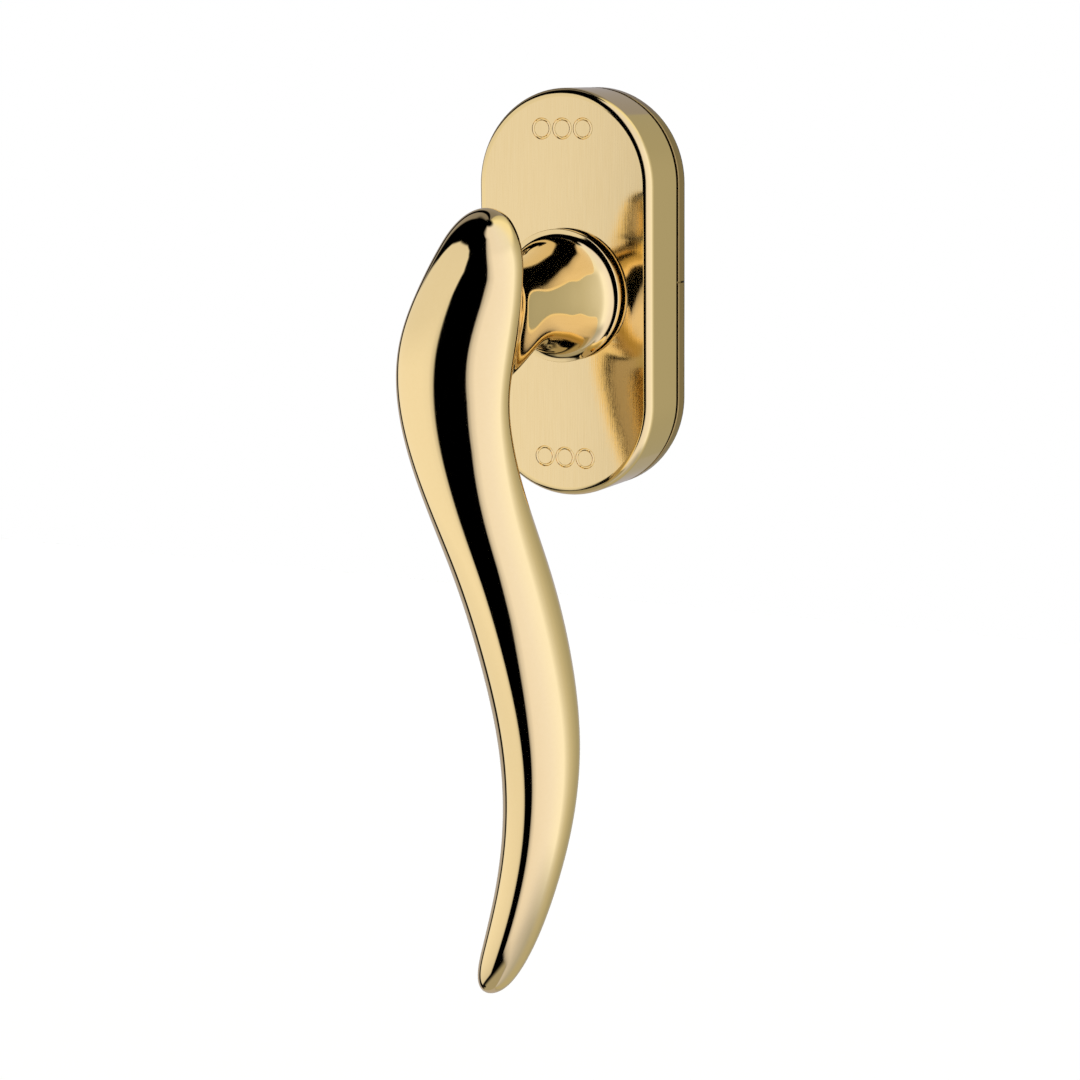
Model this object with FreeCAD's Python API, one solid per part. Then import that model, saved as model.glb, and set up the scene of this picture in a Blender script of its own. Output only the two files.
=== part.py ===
"""Tilt-and-turn window handle with a sculpted lever on a rocking face plate.

Lengths are millimetres. The origin is the centre of the plate on the window's
surface. +X points right, +Z up, and the user stands on the -Y side. Depths are
measured from the window's surface towards the user, so depth d lies at y = -d.
"""
import FreeCAD, Part
import math
import os

Vector = FreeCAD.Vector

# Lengths closer than this count as equal
TOUCH = 0.01
EDGE_SAMPLES = 9
ARCS_PER_TURN = 4

# Plate outline and the layers seen on its side
PLATE_HEIGHT = 70.0
PLATE_WIDTH = 33.0
PAD_THICKNESS = 0.5
PAD_INSET = 0.2
BAND_THICKNESS = 2.3
ROCK_GAP = 0.6
COVER_HEIGHT = 11.0
COVER_WALL = 1.2
COVER_FACE = 1.5
COVER_EDGE_RADIUS = 1.2

# Fixing to the window
SCREW_SPACING = 43.0
SCREW_RADIUS = 2.5
SCREW_SHANK_RADIUS = 2.1
SCREW_THREAD_GAP = 0.2
SCREW_HEAD_RADIUS = 4.55
SCREW_REACH = 25.0
SCREW_SLOT = 1.0
SCREW_SLOT_DEPTH = 1.6
SCREW_HOLE_CLEARANCE = 0.25
SCREW_HEAD_CLEARANCE = 0.1
SCREW_BOSS_RADIUS = 5.3
SCREW_BOSS_RISE = 1.4
PEG_RADIUS = 5.0
PEG_REACH = 3.0
PEG_SEAT = 1.1
PEG_SHOULDER = 0.2
PEG_FIT = 0.03
PEG_PAD_CLEARANCE = 0.3
SPINDLE_SIDE = 7.0
SPINDLE_REACH = 24.0
SPINDLE_SOCKET = 21.2
SPINDLE_FIT = 0.05
SPINDLE_CHAMFER = 0.6

# Turning journal of the lever, from the window outwards
JOURNAL_RADIUS = 6.5
JOURNAL_END = 0.3
RUNNING_FIT = 0.05
DISC_SEAT_RADIUS = 7.4
DISC_FLAT = 6.7
FRONT_JOURNAL_RADIUS = 8.0
COLLAR_INSET = 1.0
COLLAR_GAP = 0.5
COLLAR_HEIGHT = 0.5
COVER_HOLE_CLEARANCE = 0.9
RING_LAND = 0.6
RING_THICKNESS = 0.9
RING_RIM_GAP = 0.4
RING_GROOVE = 0.5
RING_FIT = 0.03
RING_OPENING = 50.0
RING_EAR_ANGLE = 9.0
RING_EAR_HOLE = 0.5
SPRING_WASHER_THICKNESS = 0.25
WASHER_MARGIN = 0.2
RECESS_CLEARANCE = 0.2
BUSH_WALL = 0.95
BUSH_FLANGE_RIM = 0.5
BUSH_FLANGE = 0.5
THRUST_WASHER = 0.26
AXIAL_PLAY = 0.02
PIN_RADIUS = 1.25
PIN_END_INSET = 0.2
PIN_FIT = 0.01

# Click mechanism
HOUSING_HEIGHT = 4.6
HOUSING_SCREW_GAP = 0.2
HOUSING_CORNER = 3.0
DISC_RIM = 2.2
DISC_THICKNESS = 2.0
CLICKS = 4
BALL_RADIUS = 1.5
BALL_WALL = 0.3
BALL_BORE_CLEARANCE = 0.1
BALL_TRAVEL = 0.45
BALL_BORE_FLOOR = 0.8
DETENT_SPRING_CLEARANCE = 0.15
DETENT_WIRE = 0.35
DETENT_TURNS = 4

# Lock worked by pressing the plate
NOTCH_WIDTH = 4.4
NOTCH_DEPTH = 1.1
BOLT_TRAVEL = 1.2
BOLT_WIDTH = 4.0
BOLT_THICKNESS = 2.0
BOLT_GAP = 0.1
BOLT_TIP_GAP = 0.2
BOLT_STEM = 2.8
BOLT_BAR = 1.6
RAIL_GAP = 0.3
RAIL_WIDTH = 1.3
RAIL_LENGTH = 1.3
LEG_WIDTH = 2.8
LEG_SCREW_GAP = 0.3
LEG_WALL = 1.2
BOLT_SPRING_LENGTH = 3.6
BOLT_SPRING_RADIUS = 1.0
BOLT_SPRING_WIRE = 0.3
BOLT_SPRING_TURNS = 6

# Rocking pivot and return springs of the plate
PIVOT_RISE = 2.2
PIVOT_RADIUS = 1.0
PIVOT_LENGTH = 5.3
PIVOT_END_GAP = 0.2
CARRIER_FIT = 0.05
CARRIER_WALL = 1.1
CARRIER_WEB = 1.0
CARRIER_RIM_GAP = 1.2
CARRIER_HOLE_CLEARANCE = 1.4
CARRIER_BOSS_MARGIN = 0.3
RETURN_SPRING_SIDE_GAP = 0.2
RETURN_SPRING_LEG_GAP = 0.6
RETURN_SPRING_RADIUS = 2.0
RETURN_SPRING_WIRE = 0.5
RETURN_SPRING_TURNS = 7
RETURN_SPRING_LENGTH = 7.0
RETURN_STUB_RADIUS = 1.2
RETURN_STUB_HEIGHT = 1.5
FINGER_INNER = 4.2
FINGER_WIDTH = 1.6
FINGER_THICKNESS = 0.7
FINGER_END_GAP = 0.15
SPRING_SEAT_GAP = 0.05
RIVET_RADIUS = 1.2
RIVET_INSET = 2.6
RIVET_HEAD_RADIUS = 2.0
RIVET_HEAD = 0.6
RIVET_LENGTH = 5.4

# Marks on the outside
DOT_COUNT = 3
DOT_PITCH = 3.9
DOT_RADIUS = 1.75
DOT_LINE = 0.3
DOT_DEPTH = 0.2
DOT_FROM_END = 8.7
SLIT_ABOVE_MIDDLE = 1.7
SLIT_WIDTH = 0.4
SLIT_DEPTH = 0.5

# Bell foot and neck, which turn about the spindle
HUB_RADIUS = 11.4
HUB_RIM = 1.0
NECK_RADIUS = 6.0
NECK_BLEND = 4.5
HUB_LENGTH = 15.6

# Sculpted grip: a swaying centreline with round sections
HEAD_RISE = 16.4
GRIP_DROP = 114.0
GRIP_STANDOFF = 34.2
HEAD_LEAN = 4.4
GRIP_SWAY = 12.2
BELLY_RADIUS = 10.3

# Bell profile: share of the rise from rim to neck, share of the radius lost
HUB_PROFILE = [(0.08, 0.07), (0.23, 0.30), (0.39, 0.63), (0.56, 0.87), (0.76, 0.98), (1.0, 1.0)]

# Head above the spindle: share of the rise, sway, lean to the window, radius
HEAD_STATIONS = [
    (0.970, 0.123, 0.955, 0.214),
    (0.884, 0.090, 0.840, 0.379),
    (0.732, 0.098, 0.660, 0.549),
    (0.488, 0.074, 0.430, 0.777),
    (0.244, 0.008, 0.318, 0.893),
]

# Grip below the spindle: share of the drop, sway, lean to the window, radius
GRIP_STATIONS = [
    (0.000, -0.074, 0.230, 0.961),
    (0.053, -0.139, 0.160, 1.000),
    (0.140, -0.197, 0.090, 0.922),
    (0.246, 0.016, 0.020, 0.825),
    (0.368, 0.471, 0.0, 0.782),
    (0.491, 0.816, 0.0, 0.723),
    (0.614, 1.000, 0.0, 0.646),
    (0.737, 0.955, 0.0, 0.553),
    (0.842, 0.742, 0.0, 0.481),
    (0.930, 0.467, 0.0, 0.408),
    (0.974, 0.303, 0.0, 0.311),
    (0.994, 0.230, 0.0, 0.175),
]

# Depths that follow from the sizes above
FLOOR = PAD_THICKNESS + BAND_THICKNESS
COVER_BACK = FLOOR + ROCK_GAP
PLATE_DEPTH = COVER_BACK + COVER_HEIGHT
COVER_INSIDE = PLATE_DEPTH - COVER_FACE
HOUSING_TOP = FLOOR + HOUSING_HEIGHT
DISC_BACK = HOUSING_TOP + THRUST_WASHER + 2 * AXIAL_PLAY
DISC_FRONT = DISC_BACK + DISC_THICKNESS
COLLAR_BACK = PLATE_DEPTH + COLLAR_GAP
HUB_BACK = COLLAR_BACK + COLLAR_HEIGHT
RIM_FRONT = HUB_BACK + HUB_RIM
NECK_START = RIM_FRONT + HUB_LENGTH
BOSS_TOP = FLOOR + SCREW_BOSS_RISE
PEG_NECK_RADIUS = PEG_RADIUS - PEG_SHOULDER
GRIP_DEPTH = PLATE_DEPTH + GRIP_STANDOFF
NECK_END = GRIP_DEPTH - HEAD_LEAN
COLLAR_RADIUS = HUB_RADIUS - COLLAR_INSET
RING_BACK = JOURNAL_END + RING_LAND
RING_FRONT = RING_BACK + RING_THICKNESS
BUSH_BACK = FLOOR - BUSH_FLANGE
SPRING_WASHER_RISE = BUSH_BACK - RING_FRONT - 2 * AXIAL_PLAY - SPRING_WASHER_THICKNESS
BUSH_RADIUS = JOURNAL_RADIUS + RUNNING_FIT + BUSH_WALL
BUSH_FLANGE_RADIUS = BUSH_RADIUS + BUSH_FLANGE_RIM
RECESS_RADIUS = BUSH_FLANGE_RADIUS + RECESS_CLEARANCE
RING_RADIUS = RECESS_RADIUS - RING_RIM_GAP
BALL_BORE = BALL_RADIUS + BALL_BORE_CLEARANCE
BALL_CIRCLE = RECESS_RADIUS + BALL_WALL + BALL_BORE
DISC_RADIUS = BALL_CIRCLE + DISC_RIM
HOUSING_HALF_WIDTH = DISC_RADIUS
PIN_DEPTH = (DISC_FRONT + COLLAR_BACK) / 2
SPINDLE_GRIP = JOURNAL_END + SPINDLE_SOCKET
HOUSING_HALF_HEIGHT = SCREW_SPACING / 2 - SCREW_BOSS_RADIUS - HOUSING_SCREW_GAP
RIVET_X = HOUSING_HALF_WIDTH - RIVET_INSET
RIVET_Z = HOUSING_HALF_HEIGHT - RIVET_INSET
BALL_REST = DISC_BACK - AXIAL_PLAY - BALL_RADIUS
BALL_BORE_BOTTOM = PAD_THICKNESS + BALL_BORE_FLOOR
BOLT_BACK = HOUSING_TOP + BOLT_GAP
BOLT_TIP = DISC_RADIUS + BOLT_TIP_GAP
BOLT_BAR_TOP = BOLT_TIP + BOLT_STEM
BOLT_BAR_BOTTOM = BOLT_BAR_TOP + BOLT_BAR
BOLT_MIDDLE = BOLT_BACK + BOLT_THICKNESS / 2
LEG_CENTRE = SCREW_BOSS_RADIUS + LEG_SCREW_GAP + LEG_WIDTH / 2
BOLT_BAR_HALF = LEG_CENTRE + LEG_WIDTH / 2
LEG_WALL_TOP = BOLT_BAR_BOTTOM + BOLT_SPRING_LENGTH
LEG_END = LEG_WALL_TOP + LEG_WALL
CARRIER_BACK = COVER_BACK + CARRIER_RIM_GAP
CARRIER_FRONT = COVER_INSIDE - CARRIER_FIT
CARRIER_OUTER = COVER_WALL + CARRIER_FIT
CARRIER_INNER = CARRIER_OUTER + CARRIER_WALL
RETURN_SEAT = FLOOR + RETURN_SPRING_LENGTH
RETURN_SPRING_X = SCREW_BOSS_RADIUS + RETURN_SPRING_SIDE_GAP + RETURN_SPRING_RADIUS
RETURN_SPRING_Z = LEG_END + RETURN_SPRING_LEG_GAP + RETURN_SPRING_RADIUS
PIVOT_DEPTH = FLOOR + PIVOT_RISE
PIVOT_OUTER = PLATE_WIDTH / 2 - COVER_WALL - PIVOT_END_GAP
COVER_HOLE = FRONT_JOURNAL_RADIUS + COVER_HOLE_CLEARANCE


def at(x, depth, z):
    """A point at a depth measured from the window's surface."""
    return Vector(x, -depth, z)


def rod(radius, back, front, x=0.0, z=0.0):
    """A round bar along the depth, from one depth to another."""
    return Part.makeCylinder(radius, front - back, at(x, back, z), Vector(0, -1, 0))


def cone(back_radius, front_radius, back, front, x=0.0, z=0.0):
    """A cone along the depth, from one depth to another."""
    return Part.makeCone(back_radius, front_radius, front - back, at(x, back, z), Vector(0, -1, 0))


def ring(outer, inner, back, front, x=0.0, z=0.0):
    """A flat ring or tube along the depth."""
    return rod(outer, back, front, x, z).cut(rod(inner, back, front, x, z))


def block(x0, x1, back, front, z0, z1):
    """A box between two depths."""
    return Part.makeBox(x1 - x0, front - back, z1 - z0, Vector(x0, -front, z0))


def obround(inset, back, front):
    """The plate's long-hole outline, drawn in by an inset, between two depths."""
    radius = PLATE_WIDTH / 2 - inset
    straight = (PLATE_HEIGHT - PLATE_WIDTH) / 2
    right_top = at(radius, back, straight)
    left_top = at(-radius, back, straight)
    left_low = at(-radius, back, -straight)
    right_low = at(radius, back, -straight)
    top = at(0, back, straight + radius)
    low = at(0, back, -straight - radius)
    edges = [
        Part.Arc(right_top, top, left_top).toShape(),
        Part.LineSegment(left_top, left_low).toShape(),
        Part.Arc(left_low, low, right_low).toShape(),
        Part.LineSegment(right_low, right_top).toShape(),
    ]
    return Part.Face(Part.Wire(edges)).extrude(Vector(0, -(front - back), 0))


def screw_places():
    """Heights of the two fixing screws."""
    return [SCREW_SPACING / 2, -SCREW_SPACING / 2]


def click_angles():
    """Directions of the click dimples, between the lock notches."""
    return [math.radians(360 / CLICKS * (i + 0.5)) for i in range(CLICKS)]


def ball_places():
    """Centres of the two opposite ball bores."""
    angles = [click_angles()[0], click_angles()[CLICKS // 2]]
    return [(BALL_CIRCLE * math.cos(a), BALL_CIRCLE * math.sin(a)) for a in angles]


def return_spring_places():
    """Centres of the four springs that level the plate."""
    return [(sx * RETURN_SPRING_X, sz * RETURN_SPRING_Z) for sz in (1, -1) for sx in (-1, 1)]


def rivet_places():
    """Centres of the four rivets that hold the housing."""
    return [(sx * RIVET_X, sz * RIVET_Z) for sx in (-1, 1) for sz in (-1, 1)]


def coil(radius, wire, length, turns):
    """A compression spring that stands on z = 0: one unbroken tube along arcs of a quarter turn."""
    path_radius = radius - wire / 2
    rise = length - wire

    def point(turn):
        angle = 2 * math.pi * turn
        height = wire / 2 + rise * turn / turns
        return Vector(path_radius * math.cos(angle), path_radius * math.sin(angle), height)

    arcs = []
    for i in range(turns * ARCS_PER_TURN):
        ends = [point((i + share) / ARCS_PER_TURN) for share in (0, 0.5, 1)]
        arcs.append(Part.Arc(*ends).toShape())
    tangent = arcs[0].tangentAt(arcs[0].FirstParameter)
    profile = Part.Wire([Part.Circle(point(0), tangent, wire / 2).toShape()])
    return Part.Wire(arcs).makePipeShell([profile], True, False)


def coil_along_depth(radius, wire, back, front, turns, x, z):
    """A compression spring between two depths, a hair clear of both seats."""
    spring = coil(radius, wire, front - back - 2 * SPRING_SEAT_GAP, turns)
    spring.rotate(Vector(0, 0, 0), Vector(1, 0, 0), 90)
    spring.translate(at(x, back + SPRING_SEAT_GAP, z))
    return spring


def backing_pad():
    """Thin pad between the base and the window."""
    pad = obround(PAD_INSET, 0, PAD_THICKNESS)
    pad = pad.cut(rod(RECESS_RADIUS, 0, PAD_THICKNESS))
    for z in screw_places():
        pad = pad.cut(rod(PEG_NECK_RADIUS + PEG_PAD_CLEARANCE, 0, PAD_THICKNESS, 0, z))
    return pad


def base_frame():
    """Cast base whose edge is the band seen behind the cover."""
    base = obround(0, PAD_THICKNESS, FLOOR)
    for z in screw_places():
        base = base.fuse(rod(SCREW_BOSS_RADIUS, FLOOR, BOSS_TOP, 0, z))
    for x, z in return_spring_places():
        base = base.fuse(rod(RETURN_STUB_RADIUS, FLOOR, FLOOR + RETURN_STUB_HEIGHT, x, z))
    base = base.cut(rod(RECESS_RADIUS, PAD_THICKNESS, FLOOR))
    hole = SCREW_RADIUS + SCREW_HOLE_CLEARANCE
    sink = SCREW_HEAD_RADIUS + 2 * SCREW_HEAD_CLEARANCE
    for z in screw_places():
        base = base.cut(rod(hole, PAD_THICKNESS, BOSS_TOP, 0, z))
        base = base.cut(cone(hole, sink, BOSS_TOP - (sink - hole), BOSS_TOP, 0, z))
        base = base.cut(rod(PEG_NECK_RADIUS + PEG_FIT, PAD_THICKNESS, PAD_THICKNESS + PEG_SEAT, 0, z))
    for x, z in ball_places():
        base = base.cut(rod(BALL_BORE, BALL_BORE_BOTTOM, FLOOR, x, z))
    for x, z in rivet_places():
        base = base.cut(rod(RIVET_RADIUS + PIN_FIT, PAD_THICKNESS, FLOOR, x, z))
        head_top = PAD_THICKNESS + RIVET_HEAD + PIN_FIT
        base = base.cut(rod(RIVET_HEAD_RADIUS + PIN_FIT, PAD_THICKNESS, head_top, x, z))
    half = PLATE_WIDTH / 2
    for side in (1, -1):
        near, far = sorted((side * (half - SLIT_DEPTH), side * (half + SLIT_DEPTH)))
        low = SLIT_ABOVE_MIDDLE - SLIT_WIDTH / 2
        slit = block(near, far, PAD_THICKNESS, FLOOR, low, low + SLIT_WIDTH)
        base = base.cut(slit)
    return base.removeSplitter()


def rounded_block(half_width, half_height, corner, back, front):
    """A block with rounded upright corners."""
    body = block(-half_width, half_width, back, front, -half_height, half_height)
    uprights = [e for e in body.Edges if e.BoundBox.YLength > front - back - TOUCH]
    return body.makeFillet(corner, uprights)


def mechanism_housing():
    """Housing that holds the bush, the balls, the bolt rails and the pivots."""
    body = rounded_block(HOUSING_HALF_WIDTH, HOUSING_HALF_HEIGHT, HOUSING_CORNER, FLOOR, HOUSING_TOP)
    for side in (1, -1):
        inner, outer = sorted((side * (LEG_CENTRE - LEG_WIDTH / 2), side * (LEG_CENTRE + LEG_WIDTH / 2)))
        leg = block(inner, outer, FLOOR, HOUSING_TOP, -LEG_END, -HOUSING_HALF_HEIGHT + HOUSING_CORNER)
        wall = block(inner, outer, FLOOR, BOLT_BACK + BOLT_THICKNESS, -LEG_END, -LEG_WALL_TOP)
        rail_x = BOLT_WIDTH / 2 + BOLT_GAP
        inner, outer = sorted((side * rail_x, side * (rail_x + RAIL_WIDTH)))
        rail_top = DISC_RADIUS + RAIL_GAP
        rail_low = rail_top + RAIL_LENGTH
        rail = block(inner, outer, HOUSING_TOP, BOLT_BACK + BOLT_THICKNESS, -rail_low, -rail_top)
        body = body.fuse([leg, wall, rail])
    body = body.cut(rod(BUSH_RADIUS + PIN_FIT, FLOOR, HOUSING_TOP))
    for x, z in ball_places():
        body = body.cut(rod(BALL_BORE, FLOOR, HOUSING_TOP, x, z))
    for x, z in rivet_places():
        body = body.cut(rod(RIVET_RADIUS + PIN_FIT, FLOOR, PAD_THICKNESS + RIVET_LENGTH + PIN_FIT, x, z))
    for side in (1, -1):
        start = at(side * (PIVOT_OUTER - PIVOT_LENGTH), PIVOT_DEPTH, 0)
        hole = Part.makeCylinder(PIVOT_RADIUS + PIN_FIT, PIVOT_LENGTH, start, Vector(side, 0, 0))
        body = body.cut(hole)
    return body.removeSplitter()


def locating_pegs():
    """Two sleeves that enter the window's drilled holes and guide the screws."""
    hole = SCREW_RADIUS + SCREW_HOLE_CLEARANCE
    pegs = []
    for z in screw_places():
        peg = ring(PEG_RADIUS, hole, -PEG_REACH, 0, 0, z)
        neck = ring(PEG_NECK_RADIUS, hole, 0, PAD_THICKNESS + PEG_SEAT, 0, z)
        pegs.append(peg.fuse(neck).removeSplitter())
    return Part.makeCompound(pegs)


def fixing_screw(z):
    """One captive machine screw: waisted behind its countersunk head, full size beyond the peg."""
    top = BOSS_TOP - SCREW_HEAD_CLEARANCE
    head_back = top - (SCREW_HEAD_RADIUS - SCREW_SHANK_RADIUS)
    thread_front = -PEG_REACH - SCREW_THREAD_GAP
    screw = rod(SCREW_RADIUS, -SCREW_REACH, thread_front, 0, z)
    screw = screw.fuse(rod(SCREW_SHANK_RADIUS, thread_front, head_back, 0, z))
    screw = screw.fuse(cone(SCREW_SHANK_RADIUS, SCREW_HEAD_RADIUS, head_back, top, 0, z))
    arm = SCREW_RADIUS
    slot = SCREW_SLOT / 2
    across = block(-arm, arm, top - SCREW_SLOT_DEPTH, top, z - slot, z + slot)
    upright = block(-slot, slot, top - SCREW_SLOT_DEPTH, top, z - arm, z + arm)
    return screw.cut([across, upright]).removeSplitter()


def fixing_screws():
    """The pair of screws that hold the handle on the window."""
    return Part.makeCompound([fixing_screw(z) for z in screw_places()])


def housing_rivets():
    """Four rivets that join the housing to the base."""
    rivets = []
    for x, z in rivet_places():
        shank = rod(RIVET_RADIUS, PAD_THICKNESS, PAD_THICKNESS + RIVET_LENGTH, x, z)
        head = rod(RIVET_HEAD_RADIUS, PAD_THICKNESS, PAD_THICKNESS + RIVET_HEAD, x, z)
        rivets.append(shank.fuse(head).removeSplitter())
    return Part.makeCompound(rivets)


def bearing_bush():
    """Flanged plain bearing between the journal and the housing."""
    bore = JOURNAL_RADIUS + RUNNING_FIT
    bush = ring(BUSH_RADIUS, bore, BUSH_BACK, HOUSING_TOP)
    flange = ring(BUSH_FLANGE_RADIUS, bore, BUSH_BACK, FLOOR)
    return bush.fuse(flange).removeSplitter()


def thrust_washer():
    """Slide washer between the housing and the click disc."""
    back = HOUSING_TOP + AXIAL_PLAY
    outer = BALL_CIRCLE - BALL_BORE - WASHER_MARGIN
    return ring(outer, JOURNAL_RADIUS + RUNNING_FIT, back, back + THRUST_WASHER)


def spring_washer():
    """Coned washer that takes up the axial play behind the bush."""
    inner = JOURNAL_RADIUS + 2 * RUNNING_FIT
    outer = RING_RADIUS - WASHER_MARGIN
    low = RING_FRONT + AXIAL_PLAY
    high = low + SPRING_WASHER_RISE
    points = [
        at(inner, low, 0),
        at(outer, high, 0),
        at(outer, high + SPRING_WASHER_THICKNESS, 0),
        at(inner, low + SPRING_WASHER_THICKNESS, 0),
        at(inner, low, 0),
    ]
    face = Part.Face(Part.makePolygon(points))
    return face.revolve(Vector(0, 0, 0), Vector(0, 1, 0), 360)


def retaining_ring():
    """Open ring in the journal's groove, with two plier ears."""
    inner = JOURNAL_RADIUS - RING_GROOVE + RING_FIT
    body = ring(RING_RADIUS, inner, RING_BACK, RING_FRONT)
    reach = 2 * RING_RADIUS
    half = math.radians(RING_OPENING / 2)
    points = [
        at(0, RING_BACK, 0),
        at(reach * math.sin(half), RING_BACK, -reach * math.cos(half)),
        at(-reach * math.sin(half), RING_BACK, -reach * math.cos(half)),
        at(0, RING_BACK, 0),
    ]
    opening = Part.Face(Part.makePolygon(points)).extrude(Vector(0, -RING_THICKNESS, 0))
    body = body.cut(opening)
    middle = (RING_RADIUS + inner) / 2
    for side in (1, -1):
        ear_angle = half + math.radians(RING_EAR_ANGLE)
        x = side * middle * math.sin(ear_angle)
        z = -middle * math.cos(ear_angle)
        body = body.cut(rod(RING_EAR_HOLE, RING_BACK, RING_FRONT, x, z))
    return body


def square_bar(side, back, front):
    """A square bar along the depth."""
    half = side / 2
    return block(-half, half, back, front, -half, half)


def cross_pin(radius, half_length):
    """A pin across the journal and the spindle."""
    return Part.makeCylinder(radius, 2 * half_length, at(-half_length, PIN_DEPTH, 0), Vector(1, 0, 0))


def square_spindle():
    """Square bar that drives the window's gear."""
    bar = square_bar(SPINDLE_SIDE, -SPINDLE_REACH, SPINDLE_GRIP)
    ends = [e for e in bar.Edges if e.BoundBox.YLength < TOUCH and e.BoundBox.YMax > SPINDLE_REACH - TOUCH]
    bar = bar.makeChamfer(SPINDLE_CHAMFER, ends)
    return bar.cut(cross_pin(PIN_RADIUS + PIN_FIT, SPINDLE_SIDE))


def spindle_pin():
    """Pin that holds the spindle in the lever."""
    return cross_pin(PIN_RADIUS, FRONT_JOURNAL_RADIUS - PIN_END_INSET)


def detent_disc():
    """Click disc with a dimple and a lock notch every quarter turn."""
    disc = rod(DISC_RADIUS, DISC_BACK, DISC_FRONT)
    seat = rod(DISC_SEAT_RADIUS + PIN_FIT, DISC_BACK, DISC_FRONT)
    flat = DISC_FLAT + PIN_FIT
    keep = block(-flat, flat, DISC_BACK, DISC_FRONT, -DISC_RADIUS, DISC_RADIUS)
    disc = disc.cut(seat.common(keep))
    dimple = BALL_RADIUS + BALL_BORE_CLEARANCE
    centre_depth = DISC_BACK + BALL_TRAVEL + 2 * AXIAL_PLAY - dimple
    for angle in click_angles():
        centre = at(BALL_CIRCLE * math.cos(angle), centre_depth, BALL_CIRCLE * math.sin(angle))
        disc = disc.cut(Part.makeSphere(dimple, centre))
    for i in range(CLICKS):
        notch = block(-NOTCH_WIDTH / 2, NOTCH_WIDTH / 2, DISC_BACK, DISC_FRONT,
                      DISC_RADIUS - NOTCH_DEPTH, DISC_RADIUS + NOTCH_DEPTH)
        notch.rotate(Vector(0, 0, 0), Vector(0, 1, 0), 360 / CLICKS * i)
        disc = disc.cut(notch)
    return disc


def detent_ball(place):
    """Ball of the click mechanism, held back on the disc's land."""
    x, z = place
    return Part.makeSphere(BALL_RADIUS, at(x, BALL_REST, z))


def detent_spring(place):
    """Spring behind a ball."""
    x, z = place
    front = BALL_REST - BALL_RADIUS
    radius = BALL_BORE - DETENT_SPRING_CLEARANCE
    return coil_along_depth(radius, DETENT_WIRE, BALL_BORE_BOTTOM, front, DETENT_TURNS, x, z)


def lock_bolt():
    """Sliding bolt, drawn back clear of the click disc."""
    half = BOLT_WIDTH / 2
    front = BOLT_BACK + BOLT_THICKNESS
    stem = block(-half, half, BOLT_BACK, front, -BOLT_BAR_TOP, -BOLT_TIP)
    bar = block(-BOLT_BAR_HALF, BOLT_BAR_HALF, BOLT_BACK, front, -BOLT_BAR_BOTTOM, -BOLT_BAR_TOP)
    return stem.fuse(bar).removeSplitter()


def bolt_spring(side):
    """Spring that pushes the bolt towards the disc."""
    length = BOLT_SPRING_LENGTH - 2 * SPRING_SEAT_GAP
    spring = coil(BOLT_SPRING_RADIUS, BOLT_SPRING_WIRE, length, BOLT_SPRING_TURNS)
    spring.translate(at(side * LEG_CENTRE, BOLT_MIDDLE, -LEG_WALL_TOP + SPRING_SEAT_GAP))
    return spring


def pivot_pins():
    """Two pins on the rocking axis at mid-height."""
    pins = []
    for side in (1, -1):
        start = at(side * (PIVOT_OUTER - PIVOT_LENGTH), PIVOT_DEPTH, 0)
        pins.append(Part.makeCylinder(PIVOT_RADIUS, PIVOT_LENGTH, start, Vector(side, 0, 0)))
    return Part.makeCompound(pins)


def return_springs(side):
    """The pair of springs that levels one end of the plate."""
    springs = []
    for x, z in return_spring_places():
        if z * side > 0:
            springs.append(coil_along_depth(RETURN_SPRING_RADIUS, RETURN_SPRING_WIRE, FLOOR, RETURN_SEAT,
                                            RETURN_SPRING_TURNS, x, z))
    return Part.makeCompound(springs)


def press_mark(side):
    """Three engraved rings at one end of the face, where a thumb presses."""
    z = side * (PLATE_HEIGHT / 2 - DOT_FROM_END)
    rings = []
    for i in range(DOT_COUNT):
        x = (i - (DOT_COUNT - 1) / 2) * DOT_PITCH
        rings.append(ring(DOT_RADIUS, DOT_RADIUS - DOT_LINE, PLATE_DEPTH - DOT_DEPTH, PLATE_DEPTH, x, z))
    return rings


def cover_plate():
    """One-piece face and side wall, pressed at either end."""
    shell = obround(0, COVER_BACK, PLATE_DEPTH)
    front_edges = [e for e in shell.Edges if -e.BoundBox.YMax > PLATE_DEPTH - TOUCH]
    shell = shell.makeFillet(COVER_EDGE_RADIUS, front_edges)
    shell = shell.cut(obround(COVER_WALL, COVER_BACK, COVER_INSIDE))
    shell = shell.cut(rod(COVER_HOLE, COVER_INSIDE, PLATE_DEPTH))
    for side in (1, -1):
        shell = shell.cut(press_mark(side))
    return shell


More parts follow.
